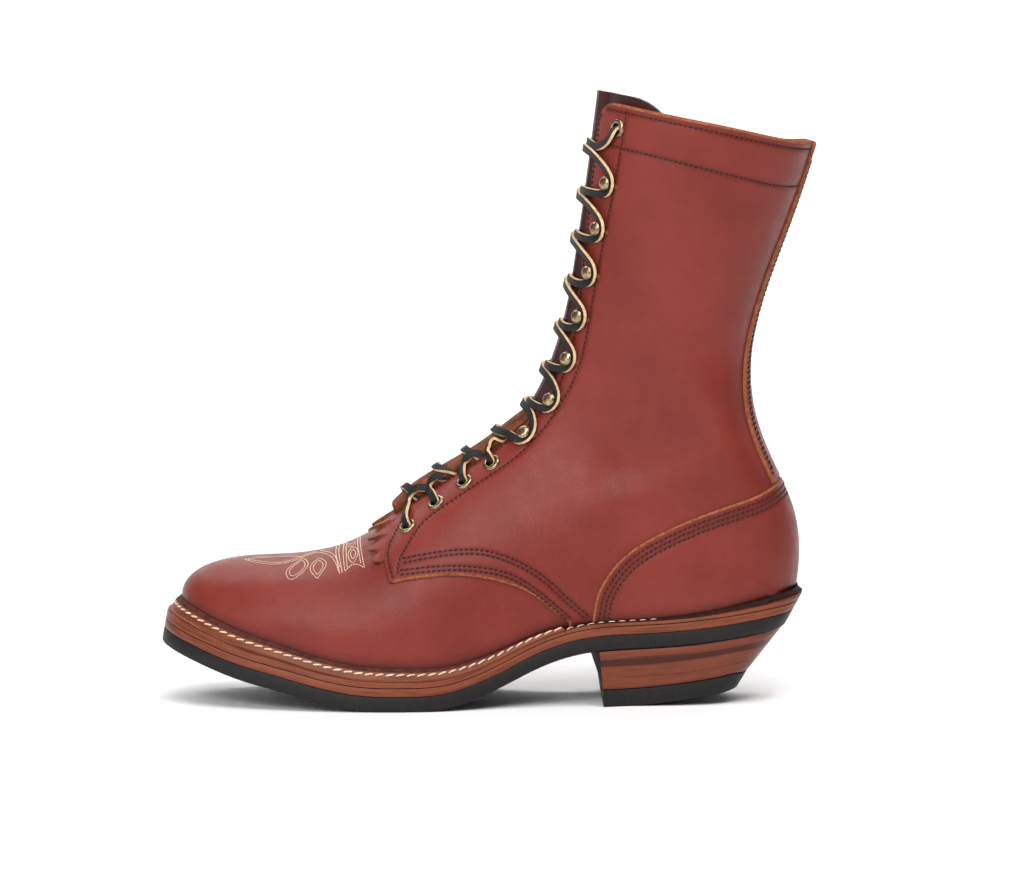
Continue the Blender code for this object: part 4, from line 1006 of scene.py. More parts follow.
def welded(patches):
    """Patches joined where they share the toe, the ridge or the back seam. Values go with the points."""
    keys, places, values, faces = {}, [], [], []
    for patch_places, patch_faces, patch_values in patches:
        number = []
        for place, value in zip(patch_places, patch_values):
            row, turn, side = place
            on_seam = row == 0 or turn == 0 or (turn == 1 and row >= HEEL_ROW)
            key = (round(row, 6), round(turn, 6), 0 if on_seam else side)
            if key not in keys:
                keys[key] = len(places)
                places.append(place)
                values.append(value)
            number.append(keys[key])
        turned = patch_faces if patch_places[0][2] == OUTER else [face[::-1] for face in patch_faces]
        for face in turned:
            renumbered = list(dict.fromkeys(number[i] for i in face))
            if len(renumbered) > 2:
                faces.append(renumbered)
    return np.array(places), faces, np.array(values)


def rim_edges(faces):
    """Edges that only one face has, in that face's order."""
    seen = {}
    for face in faces:
        for a, b in zip(face, face[1:] + face[:1]):
            seen[(a, b)] = (b, a)
    return [edge for edge, back in seen.items() if back not in seen]


def edge_drop(values):
    """How much a sheet's face sinks at its rounded edge."""
    return EDGE_DROP * (1 - np.clip(values / EDGE_ROUNDING, 0.0, 1.0)) ** 2


def sheet(places, faces, outer, inner, lined, bare, values):
    """Points, faces and kinds of face of a leather sheet, with its cut edge and, if it is lined, its back.

    bare says where the cut edge shows as raw leather, and values says how far inside the edge the points lie.
    """
    row, turn, side = places.T
    points = np.concatenate([raised(row, turn, side, outer), raised(row, turn, side, inner)])
    count = len(places)
    edges = rim_edges(faces)
    rims = [[b, a, a + count, b + count] for a, b in edges]
    backs = [[i + count for i in face[::-1]] for face in faces] if lined else []
    finishes = [int(bare[face[0]] and np.mean(values[face]) < RAW_SHARE * EDGE_ROUNDING) for face in faces]
    finishes += [int(bare[a]) for a, _ in edges] + [2] * len(backs)
    return points, faces + rims + backs, finishes


def collar_row(turn, side):
    """Row of the collar's edge, and how far apart rows are there."""
    pace = COLLAR_PACE[0] + (COLLAR_PACE[1] - COLLAR_PACE[0]) * np.asarray(turn, float)
    rise = np.where(np.asarray(side) == OUTER, COLLAR_RISE[OUTER], COLLAR_RISE[INNER])
    back = smooth_step(2 * turn - 1)
    return COLLAR_ROW + (rise * (1 - back) + COLLAR_BACK_RISE * back**3) / pace, pace


def throat_gap(row, side):
    """Half gap of the throat, opening out round the collar's front corner."""
    gap = half_gap(row)
    top, _ = collar_row(np.zeros_like(gap), side)
    near_top = np.clip((row - top + COLLAR_CORNER_ROWS) / COLLAR_CORNER_ROWS, 0.0, 1.0)
    return gap + COLLAR_CORNER * (1 - np.sqrt(1 - near_top**2))


def opening_field(places, point):
    """Distance inside the leather's edge at the throat and collar, and outside the eyelets' holes."""
    row, turn, side = places.T
    across = np.abs(point[:, 1] - section(row)["ridge_y"])
    throat = np.where((row > THROAT_ROW) & (turn < 0.5), across - throat_gap(row, side), FAR_INSIDE)
    top, pace = collar_row(turn, side)
    collar = (top - row) * pace
    field = np.minimum(throat, collar)
    for number, holes in HOLES.items():
        for hole in holes:
            away = np.linalg.norm(point - hole, axis=1) - EYELET_HOLE
            field = np.where(side == number, np.minimum(field, away), field)
    return field


def quarter_shape():
    front = smooth_line(QUARTER_FRONT_EDGE, EDGE_STEP)
    lower = smooth_line(QUARTER_LOWER_EDGE, EDGE_STEP)
    foot_x = QUARTER_LOWER_EDGE[0][0]
    frame = [(front[-1][0], CUT_TOP), (CUT_BACK, CUT_TOP), (CUT_BACK, CUT_FLOOR), (foot_x, CUT_FLOOR)]
    return [*front, *frame, *lower]


def quarter_field(places):
    point = raised(*places.T, QUARTER_FACE)
    return np.minimum(upper_field(places), inside_distance(point[:, [0, 2]], QUARTER_SHAPE))


def upper_field(places):
    return opening_field(places, surface(*places.T))


def counter_shape(lift):
    edge = smooth_line(COUNTER_EDGE, EDGE_STEP) + np.array([0.0, lift])
    frame = [(CUT_BACK, edge[-1][1] + COUNTER_BACK_RISE), (CUT_BACK, CUT_FLOOR), (edge[0][0], CUT_FLOOR)]
    return [*edge, *frame]


def counter_field(places):
    return inside_distance(raised(*places.T, OVERLAY_FACE)[:, [0, 2]], COUNTER_SHAPE)


BACKSTAY_AT = table_spline([(z, y) for y, z in BACKSTAY_EDGE])


def backstay_field(places):
    point = raised(*places.T, OVERLAY_FACE)
    beside = BACKSTAY_AT(point[:, 2]) - np.abs(point[:, 1])
    above = -inside_distance(point[:, [0, 2]], BACKSTAY_FOOT)
    top, pace = collar_row(places[:, 1], places[:, 2])
    collar = (top - places[:, 0]) * pace
    return np.minimum(np.minimum(beside, above), collar)


def nearness(points, lines, reach):
    """How close points are to the nearest of some lines: 1 on it, fading to 0 over a reach."""
    nearest = np.full(len(points), np.inf)
    for line in lines:
        for i in range(0, len(points), FIELD_BATCH):
            some = points[i : i + FIELD_BATCH]
            apart = np.linalg.norm(some[:, None] - line[None], axis=2).min(axis=1)
            nearest[i : i + FIELD_BATCH] = np.minimum(nearest[i : i + FIELD_BATCH], apart)
    return np.exp(-((nearest / reach) ** 2))


def rises(table):
    return by_column(table, RISE_COLUMNS)


def leather_fields(points, seams):
    """Fields for the leather's finish: seams, painted shade with some dirt at the foot above the welt, and
    wear beside the hooks.
    """
    brims = [spline(rise["x"], rise["inner"])(points[:, 0]) for rise in (rises(WELT_RISE), rises(RAND_RISE))]
    brim = np.where(points[:, 0] < WELT_END_X, *brims)
    above = above_sole(points) - SEAT - brim
    # foot: painted shade with some dirt, darkest where the upper meets the welt or rand.
    fields = {"foot": np.exp(-np.maximum(above, 0.0) / FOOT_SHADE_HEIGHT)}
    fields["seam"] = nearness(points, seams, SEAM_REACH) if seams else np.zeros(len(points))
    fields["wear"] = nearness(points, [WEAR_PLACES], WEAR_REACH)
    return fields


def build_upper():
    rows = np.unique(np.concatenate([np.arange(*stretch) for stretch in UPPER_ROW_STRETCHES]))
    patches = []
    for side in SIDES.values():
        start = np.where(rows > THROAT_ROW, turn_at_width(rows, half_gap(rows) - THROAT_MARGIN, side), 0.0)
        turns = even_turns(rows, np.maximum(start, 0.0), np.ones_like(rows), side, UPPER_COLUMNS)
        patches.append(trimmed(*patch(rows, turns, side), upper_field))
    places, faces, values = welded(patches)
    bare = places[:, 0] > COLLAR_ROW - COLLAR_BARE_ROWS
    whole = np.full(len(places), EDGE_ROUNDING)
    points, faces, kinds = sheet(places, faces, -edge_drop(values), -UPPER_WALL, True, bare, whole)
    finishes = [LEATHER_RED, RAW_EDGE, LINING]
    fields = leather_fields(points, [])
    make_piece("upper_leather", points, faces, finishes, ["upper"], kinds, fields)


def build_quarters():
    rows = np.arange(QUARTER_FIRST_ROW, COLLAR_ROW + ROWS_PAST_COLLAR, QUARTER_ROW_STEP)
    for name, side in SIDES.items():
        start = turn_at_width(rows, np.maximum(half_gap(rows) - THROAT_MARGIN, 0.0), side)
        turns = even_turns(rows, start, np.ones_like(rows), side, QUARTER_COLUMNS)
        places, faces, values = welded([trimmed(*patch(rows, turns, side), quarter_field)])
        x, _, z = surface(*places.T).T
        low = (z < QUARTER_BARE_HEIGHT) & (x > QUARTER_BARE_X)
        bare = low | (places[:, 0] > COLLAR_ROW - COLLAR_BARE_ROWS)
        outer = QUARTER_FACE - edge_drop(values)
        worn = np.where(bare, values, EDGE_ROUNDING)
        points, faces, kinds = sheet(places, faces, outer, UNDER_SHEET, False, bare, worn)
        fields = leather_fields(points, SEAM_LINES["quarter", side])
        piece, node = f"quarter_leather_{name}", f"quarter_{name}"
        make_piece(piece, points, faces, [LEATHER_RED, RAW_EDGE], [node], kinds, fields)


def build_overlay(node, ends, first_turn, field):
    """A piece of leather that lies over both quarters and meets round the back."""
    rows = np.arange(*ends, OVERLAY_ROW_STEP)
    patches = []
    for side in SIDES.values():
        turns = even_turns(rows, np.full_like(rows, first_turn), np.ones_like(rows), side, OVERLAY_COLUMNS)
        patches.append(trimmed(*patch(rows, turns, side), field))
    places, faces, values = welded(patches)
    bare = np.ones(len(places), bool)
    outer = OVERLAY_FACE - edge_drop(values)
    points, faces, kinds = sheet(places, faces, outer, QUARTER_FACE + UNDER_SHEET, False, bare, values)
    fields = leather_fields(points, [line for side in SIDES.values() for line in SEAM_LINES[node, side]])
    finishes = [LEATHER_RED, RAW_EDGE]
    make_piece(f"{node}_leather", points, faces, finishes, [node], kinds, fields)


def build_tongue():
    first, last = TONGUE_ROWS
    levels = np.linspace(0.0, 1.0, int((last - first) / TONGUE_ROW_STEP))[:, None]
    shares = np.linspace(0.0, 1.0, TONGUE_COLUMNS)
    beyond = np.clip((shares - TONGUE_FALL_START) / (1 - TONGUE_FALL_START), 0.0, 1.0)
    fall = TONGUE_FALL_ROWS * beyond**TONGUE_FALL_BEND
    under = UPPER_WALL + TONGUE_CLEARANCE
    patches = []
    for side in SIDES.values():
        drop = TONGUE_INNER_DROP_ROWS * eased(shares, TONGUE_INNER_DROP_SHARES) if side == INNER else 0.0
        rows = first + (last - fall - drop - first) * levels
        throat = turn_at_width(rows, np.maximum(half_gap(rows), TONGUE_LEAST_GAP), side)
        turns = (throat + (1 - throat) * TONGUE_REACH) * shares
        tucked = eased(turns, [share * throat for share in TONGUE_BEND])
        free = eased(rows, TONGUE_RISE_ROWS)
        swell = TONGUE_SWELL * eased(rows, TONGUE_SWELL_ROWS)
        depth = under * np.maximum(tucked, 1 - free) - swell * (1 - tucked)
        patches.append((*patch(rows, turns, side), depth.ravel()))
    places, faces, depths = welded(patches)
    bare = np.zeros(len(places), bool)
    points, faces, kinds = sheet(places, faces, -depths, -depths - TONGUE_WALL, True, bare, depths)
    finishes = [TONGUE_BROWN, RAW_EDGE, TONGUE_BROWN]
    make_piece("tongue_leather", points, faces, finishes, ["tongue"], kinds)


def row_before_edge(turn, side):
    """Row, at a turn, that lies just in front of the quarter's front edge as seen from the side."""
    edge = np.array(QUARTER_FRONT_EDGE)
    low, high = QUARTER_FIRST_ROW - 1.0, QUARTER_FIRST_ROW + 2.0
    for _ in range(HALVINGS):
        middle = (low + high) / 2
        x, _, z = raised(middle, turn, side, QUARTER_FACE)
        if x < np.interp(z, edge[:, 1], edge[:, 0]) - FRINGE_BACK_GAP:
            low = middle
        else:
            high = middle
    return low


def fringe_columns():
    """Distance from the ridge, length and tilt of each column of the strips and notches of one side."""
    columns = []
    for i, (middle, half, length) in enumerate(FRINGE_STRIPS):
        if i:
            before, half_before, _ = FRINGE_STRIPS[i - 1]
            columns.append(((before + half_before + middle - half) / 2, FRINGE_NOTCH, 0.0))
        shares = np.linspace(-1.0 if i else 0.0, 1.0, FRINGE_STRIP_COLUMNS)
        columns += [(middle + half * share, length, share if i else 0.0) for share in shares]
    return columns


def build_kiltie():
    patches = []
    for side in SIDES.values():
        rows, turns, lifts = [], [], []
        for distance, length, tilt in fringe_columns():
            turn = float(turn_at_width(KILTIE_MOUTH_ROW, distance, side))
            edge_row = row_before_edge(turn, side)
            root = edge_row + FRINGE_ROOT_ROWS if distance > KILTIE_MOUTH_HALF else KILTIE_ROOT_ROW
            step = surface(edge_row, turn, side) - surface(edge_row - PACE_STEP, turn, side)
            rows_out = length * PACE_STEP / np.linalg.norm(step)
            line = np.linspace(root, edge_row - rows_out, FRINGE_ROWS)
            out = np.clip((edge_row - line) / rows_out, 0.0, 1.0)
            rows.append(line)
            turns.append(np.full(FRINGE_ROWS, turn))
            clear = (KILTIE_SKIN - FRINGE_ROOT_SKIN) * (eased(out, FRINGE_ROOT_SHARES) - 1)
            lifts.append(FRINGE_CURL * out**2 + FRINGE_TILT * tilt * out + clear)
        rows, turns, lifts = (np.array(values).T for values in (rows, turns, lifts))
        patches.append((*patch(rows, turns, side), lifts.ravel()))
    places, faces, lifts = welded(patches)
    bare = np.ones(len(places), bool)
    whole = np.full(len(places), EDGE_ROUNDING)
    fringe = sheet(places, faces, KILTIE_SKIN + lifts, KILTIE_LIFT + lifts, True, bare, whole)
    points, faces, kinds = joined([fringe, folded_strip()])
    finishes = [LEATHER_RED, FRINGE_EDGE, FRINGE_EDGE, SUEDE]
    make_piece("kiltie_leather", points, faces, finishes, ["kiltie"], kinds)


FOLD_AT = table_spline(FOLD)


def fold_height(row, share):
    """Height of the fold's upper side at a share of its half width."""
    top = FOLD_AT(row)[..., 1]
    cosine = np.clip(share, 0.0, 1.0) ** (1 / FOLD_SQUARE[0])
    sine = np.sqrt(1 - cosine**2)
    upright = sine ** FOLD_SQUARE[1] * (1 - FOLD_CROWN * share**2)
    return FOLD_BOTTOM + (top - FOLD_BOTTOM) * (1 + upright) / 2


def folded_strip():
    """The suede fold in the throat, in rings from its blunt front end back to where it dies out."""
    first, last = FOLD[0][0], FOLD[-1][0]
    rows = [first + behind for behind, _ in FOLD_END]
    rows += list(np.linspace(first + FOLD_BODY_START, last, FOLD_RINGS))
    swells = [swell for _, swell in FOLD_END] + [1.0] * FOLD_RINGS
    angles = np.linspace(0.0, 2 * math.pi, FOLD_SIDES + 1)[:-1]
    cosine, sine = np.cos(angles), np.sin(angles)
    across = np.sign(cosine) * np.abs(cosine) ** FOLD_SQUARE[0]
    upright = np.sign(sine) * np.abs(sine) ** FOLD_SQUARE[1] * (1 - FOLD_CROWN * across**2)
    sides = np.where(across < 0, OUTER, INNER)
    rings = []
    for row, swell in zip(rows, swells):
        half, top = FOLD_AT(row)
        middle = (top + FOLD_BOTTOM) / 2
        turns = turn_at_width(np.full(FOLD_SIDES, row), half * np.abs(across), sides)
        heights = middle + swell * (top - FOLD_BOTTOM) / 2 * upright
        rings.append(raised(np.full(FOLD_SIDES, row), turns, sides, heights))
    faces = tube_faces(len(rings), FOLD_SIDES)
    return np.concatenate(rings), faces, [SUEDE_KIND] * len(faces)


# Sole


def sole_rows():
    """Rows whose points lie evenly along the sole's edge."""
    rows = np.linspace(0.0, HEEL_ROW, SOLE_SAMPLES)
    outer, inner = (outline(rows, side, SOLE_EDGE_MEAN) for side in (OUTER, INNER))
    way = way_along(np.concatenate([(outer + inner) / 2, (inner - outer) / 2], axis=1))
    return np.interp(np.linspace(0.0, way[-1], SOLE_POINTS), way, rows)


def closed_band(halves):
    """Points and faces of a band of loops, each half outer and half inner, closed above and below."""
    lateral, medial = halves
    levels, count = lateral.shape[:2]
    points = np.concatenate([lateral.reshape(-1, 3), medial.reshape(-1, 3)])
    left = np.arange(levels * count).reshape(levels, count)
    right = left + levels * count
    faces = quads(left[:, ::-1]) + quads(right)
    for level, turned in ((0, False), (levels - 1, True)):
        cap = quads(np.stack([left[level], right[level]]))
        faces += [face[::-1] for face in cap] if turned else cap
    return points, faces


def sole_band(name, profile, finish, node):
    rows = sole_rows()
    halves = []
    for side in (OUTER, INNER):
        halves.append(np.stack([sole_point(rows, side, level, inset) for level, inset in profile]))
    points, faces = closed_band(halves)
    fields = {"level": above_sole(points)}
    make_piece(name, points, faces, [finish], [node], fields=fields, sharp=SOLE_SHARP)


def contour(rows, side, face, rise):
    """The line, a point a row, at a rise above the seat on leather whose face is this far above the upper."""
    low, high = np.full_like(rows, CONTOUR_FIRST_TURN), np.ones_like(rows)
    for _ in range(HALVINGS):
        middle = (low + high) / 2
        point = raised(rows, middle, side, face)
        above = above_sole(point) - SEAT > rise(point[..., 0])
        low, high = np.where(above, middle, low), np.where(above, high, middle)
    return raised(rows, high, side, face)


def stood_off(line, side, offset, tip_direction):
    """A line seen in plan, moved outwards, with its tip moved straight along the boot."""
    away = left_of(np.gradient(line[:, :2], axis=0)) * side
    tip = 0 if tip_direction < 0 else -1
    away[tip] = tip_direction, 0.0
    moved = line.copy()
    moved[:, :2] += away * offset[:, None]
    moved[:, 2] += sole_line(moved[:, 0]) - sole_line(line[:, 0])
    return moved


def strip_lines(side, end_x, tip_row, face, table, crown_height):
    """Lines along one side of a strip on the midsole's edge.

    They run from its foot against the leather over its top to its foot outside.
    """
    rise = rises(table)
    outer_rise, inner_rise = (spline(rise["x"], rise[edge]) for edge in ("outer", "inner"))
    end_row = row_at_base(end_x)
    round_toe = tip_row < end_row
    rows = np.linspace(min(end_row, tip_row), max(end_row, tip_row), STRIP_SAMPLES)
    seat = contour(rows, side, face, np.zeros_like)
    brim = contour(rows, side, face, inner_rise)
    clear = np.full_like(rows, STRIP_CLEARANCE)
    if round_toe:
        foot = stood_off(seat, side, clear, -1.0)
        top = stood_off(brim, side, STRIP_TOP_SHARE * clear, -1.0)
    else:
        lean = np.where(rows < HEEL_CORNER_ROW, np.maximum((brim - seat)[:, 1] * side, 0.0), HEEL_CORNER_LEAN)
        foot = stood_off(seat, side, clear, 1.0)
        top = stood_off(seat, side, clear + lean, 1.0)
        top[:, 2] += inner_rise(top[:, 0])
    height = outer_rise(section(rows)["base_x"])
    lines = [foot, top]
    lines += [sole_point(rows, side, SEAT + height * share, inset) for share, inset in STRIP_EDGE]
    lines = np.stack([evenly(line, STRIP_COUNT) for line in lines], axis=1)
    crown = lines[:, 1:3].mean(axis=1, keepdims=True) + np.array([0.0, 0.0, crown_height])
    lines = np.concatenate([lines[:, :2], crown, lines[:, 2:]], axis=1)
    return lines[::-1] if round_toe else lines


def build_strip(name, lines_of, shade_lines, finishes, node):
    """The strip round the toe or heel, with both sides joined at its tip."""
    halves = [lines_of(side) for side in (OUTER, INNER)]
    line = np.concatenate([halves[0], halves[1][::-1][1:]])
    net = np.arange(line.shape[0] * line.shape[1]).reshape(line.shape[:2])
    closed = np.concatenate([net, net[:, :1]], axis=1)
    faces = quads(closed) + [net[0][::-1].tolist(), net[-1].tolist()]
    points = line.reshape(-1, 3)
    # The first lines of faces, against the leather, take the second finish: painted shade.
    dark = np.zeros((line.shape[0] - 1, line.shape[1]), int)
    dark[:, :shade_lines] = 1
    kinds = dark.ravel().tolist() + [0, 0]
    fields = {"level": above_sole(points)}
    make_piece(name, points, faces, finishes, [node], kinds, fields, STRIP_SHARP)


def welt_lines(side):
    return strip_lines(side, WELT_END_X, 0.0, 0.0, WELT_RISE, WELT_CROWN)


def rand_lines(side):
    return strip_lines(side, RAND_START_X, float(HEEL_ROW), OVERLAY_FACE, RAND_RISE, RAND_CROWN)


def heel_band(name, profile, finishes, node):
    """A layer of the heel between its breast and its back.

    A profile row is a height, an inset, and the share of the way from that height up to the sole. The
    finishes are for the sides, for the breast, and for every other notch along the lowest edge.
    """
    halves = []
    for side in (OUTER, INNER):
        lines = []
        for height, inset, to_sole in profile:
            full_height = HEEL_BACK_TOP[1]
            share = (height + (full_height - height) * to_sole) / full_height
            first = row_at_base(BREAST_X[side] + BREAST_LEAN[side] * (1 - share))
            rows = first + (HEEL_ROW - first) * np.sin(np.linspace(0, math.pi / 2, HEEL_SHARES))
            under = sole_point(rows, side, -CLEARANCE)[:, 2]
            z = height * (1 - to_sole) + under * to_sole
            plan = drawn_in(outline(rows, side, SOLE_EDGE_AT(section(rows)["base_x"]) - inset), z)
            back = np.clip((plan[:, 0] - HEEL_SPRING_RAMP[0]) / np.ptp(HEEL_SPRING_RAMP), 0.0, 1.0)
            spring = HEEL_SPRING * back**HEEL_SPRING_BEND * (1 - to_sole)
            lines.append(np.concatenate([plan, (z + spring)[:, None]], axis=1))
        halves.append(np.stack(lines))
    points, faces = closed_band(halves)
    levels, count = halves[0].shape[:2]
    net = np.arange(levels) * count
    breast = quads(np.stack([net, net + levels * count]))
    notched = [2 * (i % 2) for i in range(count - 1)] + [0] * (count - 1) * (levels - 2)
    kinds = notched * 2 + [0] * (len(faces) - 2 * len(notched)) + [1] * len(breast)
    fields = {"level": np.tile(np.repeat([to_sole for _, _, to_sole in profile], count), 2)}
    make_piece(name, points, faces + breast, finishes, [node], kinds, fields, SOLE_SHARP)


# Hardware and lace


def locate(places, side, height):
    """Rows and turns of the places, at a height above the upper, that are seen at x and z from the side."""
    places = np.asarray(places, float)
    rows, turns = np.meshgrid(NET_ROWS, NET_TURNS, indexing="ij")
    seen = raised(rows, turns, side, height)[..., [0, 2]].reshape(-1, 2)
    nearest = [np.argmin(((seen - place) ** 2).sum(axis=1)) for place in places]
    found = np.stack([rows.ravel()[nearest], turns.ravel()[nearest]], axis=1)
    step = LOCATE_STEP
    for _ in range(LOCATE_ROUNDS):
        here = raised(*found.T, side, height)[:, [0, 2]]
        by_row = (raised(found[:, 0] + step, found[:, 1], side, height)[:, [0, 2]] - here) / step
        by_turn = (raised(found[:, 0], found[:, 1] - step, side, height)[:, [0, 2]] - here) / -step
        slopes = np.stack([by_row, by_turn], axis=2)
        move = np.linalg.solve(slopes + 1e-6 * np.eye(2), (places - here)[..., None])[..., 0]
        found = found + np.clip(move, -LOCATE_MOST, LOCATE_MOST)
        found[:, 1] = np.clip(found[:, 1], 0.0, 1.0)
    return found


def turned(profile, point, normal):
    """Points, faces and kinds of face of a profile turned round a normal on the leather."""
    side = unit(np.cross(normal, [0.0, 0.0, 1.0]))
    other = np.cross(normal, side)
    angles = np.linspace(0.0, 2 * math.pi, TURNED_STEPS + 1)[:-1]
    circle = np.cos(angles)[:, None] * side + np.sin(angles)[:, None] * other
    rings = [point + radius * circle + height * normal for radius, height in profile]
    faces = tube_faces(len(rings), TURNED_STEPS, capped=False)
    return np.concatenate(rings), faces, [0] * len(faces)


def hardware_spots(kind, places):
    """Rows and turns on the leather below hardware that is seen at these places from the side."""
    return locate(places, OUTER, QUARTER_FACE + HARDWARE_SEEN[kind])


def build_hardware():
    for kind, profile, places in (("eyelet", EYELET_PROFILE, EYELETS), ("hook", HOOK_PROFILE, HOOKS)):
        parts, nodes = [], []
        for name, side in SIDES.items():
            for number, (row, turn) in enumerate(hardware_spots(kind, places), 1):
                parts.append(turned(profile, raised(row, turn, side, QUARTER_FACE), outward(row, turn, side)))
                nodes.append(f"{kind}_{name}_{number}")
        points, faces, kinds = joined(parts)
        make_piece(f"{kind}s_brass", points, faces, [BRASS], nodes, kinds, sharp=BRASS_SHARP)


def lace_path(first_side):
    """Stations of one strand: a point, the leather's normal there, and the roll of the lace in degrees."""
    in_order = sorted([(z, x, "eyelet") for x, z in EYELETS] + [(z, x, "hook") for x, z in HOOKS])
    spots = [hardware_spots(kind, [(x, z)])[0] for z, x, kind in in_order]
    kinds = [kind for _, _, kind in in_order]
    stations = []

    def add(row, turn, side, height, roll):
        side_now = side if turn >= 0 else -side
        point = raised(row, abs(turn), side_now, height)
        stations.append((point, outward(row, abs(turn), side_now), -side * roll))

    def beside(row, turn, side, along, away, height, roll):
        """A place some way up along the throat and away from it."""
        here = raised(row, turn, side, QUARTER_FACE)
        normal = outward(row, turn, side)
        up = unit(raised(row + SMALL_STEP, turn, side, QUARTER_FACE) - here)
        back = raised(row, turn + SMALL_STEP, side, QUARTER_FACE) - here
        back = unit(back - (back @ up) * up)
        stations.append((here + along * up + away * back + height * normal, normal, -side * roll))

    def on_fold(row, share, lift, side, roll):
        """A place this far above the fold, at a share of its half width."""
        turn = float(turn_at_width(row, FOLD_AT(row)[0] * share, side))
        add(row, turn, side, float(fold_height(row, share)) + lift, roll)

    def throat_turn(row, share, side):
        return float(turn_at_width(row, share * half_gap(row), side))

    for i, ((row, turn), kind) in enumerate(zip(spots, kinds)):
        side = first_side if i % 2 == 0 else -first_side
        over = side == INNER
        if kind == "hook":
            for step in LACE_ROUND_HOOK:
                beside(row, turn, side, *step)
        elif i < len(LACE_EDGE_ROWS):
            add(row - LACE_START_ROWS, turn * LACE_START_SHARE, side, -UPPER_WALL - LACE_BEHIND, 0.0)
            for step in LACE_OUT_OF_EYELET:
                beside(row, turn, side, *step)
            edge_row = LACE_EDGE_ROWS[i]
            edge_turn = throat_turn(edge_row, 1.0, side)
            add((row + edge_row) / 2, (turn + edge_turn) / 2, side, LACE_EDGE_LIFT, LACE_ROLLS[i])
            add(edge_row, edge_turn, side, LACE_EDGE_LIFT, LACE_ROLLS[i] / 3)
        else:
            for step in LACE_INTO_TOP:
                beside(row, turn, side, *step)
            add(row, turn, side, -UPPER_WALL - LACE_END_BEHIND, 0.0)
            break
        if i >= len(LACE_FOLD_ROWS):
            cross = row + (spots[i + 1][0] - row) * LACE_CROSS_SHARE[side]
            add(cross, 0.0, side, TONGUE_SWELL + (LACE_UNDER if over else LACE_OVER), 0.0)
            continue
        if over:
            for rows_on, share, lift in LACE_OVER_FOLD:
                on_fold(LACE_FOLD_ROWS[i] + rows_on, abs(share), lift, side if share < 0 else -side, 0.0)
        else:
            for tuck_row, share, lift in LACE_TUCKS[i]:
                on_fold(tuck_row, share, lift, side, LACE_TUCK_ROLLS[i])
            add(tuck_row + LACE_TUCK_ROWS, 0.0, side, FOLD_BOTTOM + LACE_UNDER, 0.0)
        if i < len(LACE_DIVE_ROWS):
            dive_row = LACE_DIVE_ROWS[i]
            if over:
                on_fold(dive_row, *LACE_DIVE, -side, 0.0)
            inside_row = dive_row + LACE_TUCK_ROWS
            inside_turn = throat_turn(inside_row, LACE_BEHIND_SHARE, -side)
            add(inside_row, inside_turn, -side, -UPPER_WALL - LACE_BEHIND, 0.0)
    return stations


def sweep_lace(stations):
    """Points, faces and kinds of face of a flat lace along its stations. Cut edges have their own finish."""
    points = np.array([station[0] for station in stations])
    normals = np.array([station[1] for station in stations])
    rolls = np.radians([station[2] for station in stations])
    way = way_along(points)
    places = np.linspace(0.0, way[-1], int(way[-1] / LACE_STEP))
    path = spline(way, points)(places)
    roll = np.interp(places, way, rolls)[:, None]
    along = unit(np.gradient(path, axis=0))
    across = unit(np.cross(along, read_along(places, way, normals)))
    up = np.cross(across, along)
    turned_across = across * np.cos(roll) + up * np.sin(roll)
    turned_up = up * np.cos(roll) - across * np.sin(roll)
    a, b, c = LACE_WIDTH / 2, LACE_THICKNESS / 2, LACE_CHAMFER
    corners = [(a, b - c), (a - c, b), (c - a, b), (-a, b - c)]
    corners += [(-u, -v) for u, v in corners]
    rings = np.stack([path + turned_across * u + turned_up * v for u, v in corners], axis=1)
    kinds = np.zeros((len(rings) - 1, len(corners)), int)
    kinds[:, LACE_CUT_SIDES] = 1
    return rings.reshape(-1, 3), tube_faces(len(rings), len(corners)), kinds.ravel().tolist() + [1, 1]


def build_lace():
    points, faces, kinds = joined([sweep_lace(lace_path(side)) for side in SIDES.values()])
    nodes = sorted(name for name in frame["nodes"] if name.startswith("lace_crossing"))
    make_piece("lace_leather", points, faces, [LACE_BLACK, LACE_EDGE], nodes, kinds)


# Seams and stitches


def side_line(line, side, height):
    """Points on the leather along a line seen from the side, and the leather's normals there."""
    found = locate(line, side, height)
    return raised(*found.T, side, height), outward(*found.T, side)


def placed_line(rows, turns, side, height):
    return raised(rows, turns, side, height), outward(rows, turns, side)


def level_line(rows, side, field, level, first_turn):
    """Points, a row each, where a field of the overlays reaches a level, from the front to the back."""
    turns = np.linspace(first_turn, 1.0, LEVEL_TURNS)
    found_rows, found_turns = [], []
    for row in rows:
        places = np.stack([np.full_like(turns, row), turns, np.full_like(turns, side)], axis=1)
        values = field(places) - level
        crossing = np.nonzero((values[:-1] < 0) & (values[1:] >= 0))[0]
        if len(crossing):
            i = crossing[-1]
            share = -values[i] / (values[i + 1] - values[i])
            found_rows.append(row)
            found_turns.append(turns[i] + (turns[i + 1] - turns[i]) * share)
    return placed_line(np.array(found_rows), np.array(found_turns), side, OVERLAY_FACE)


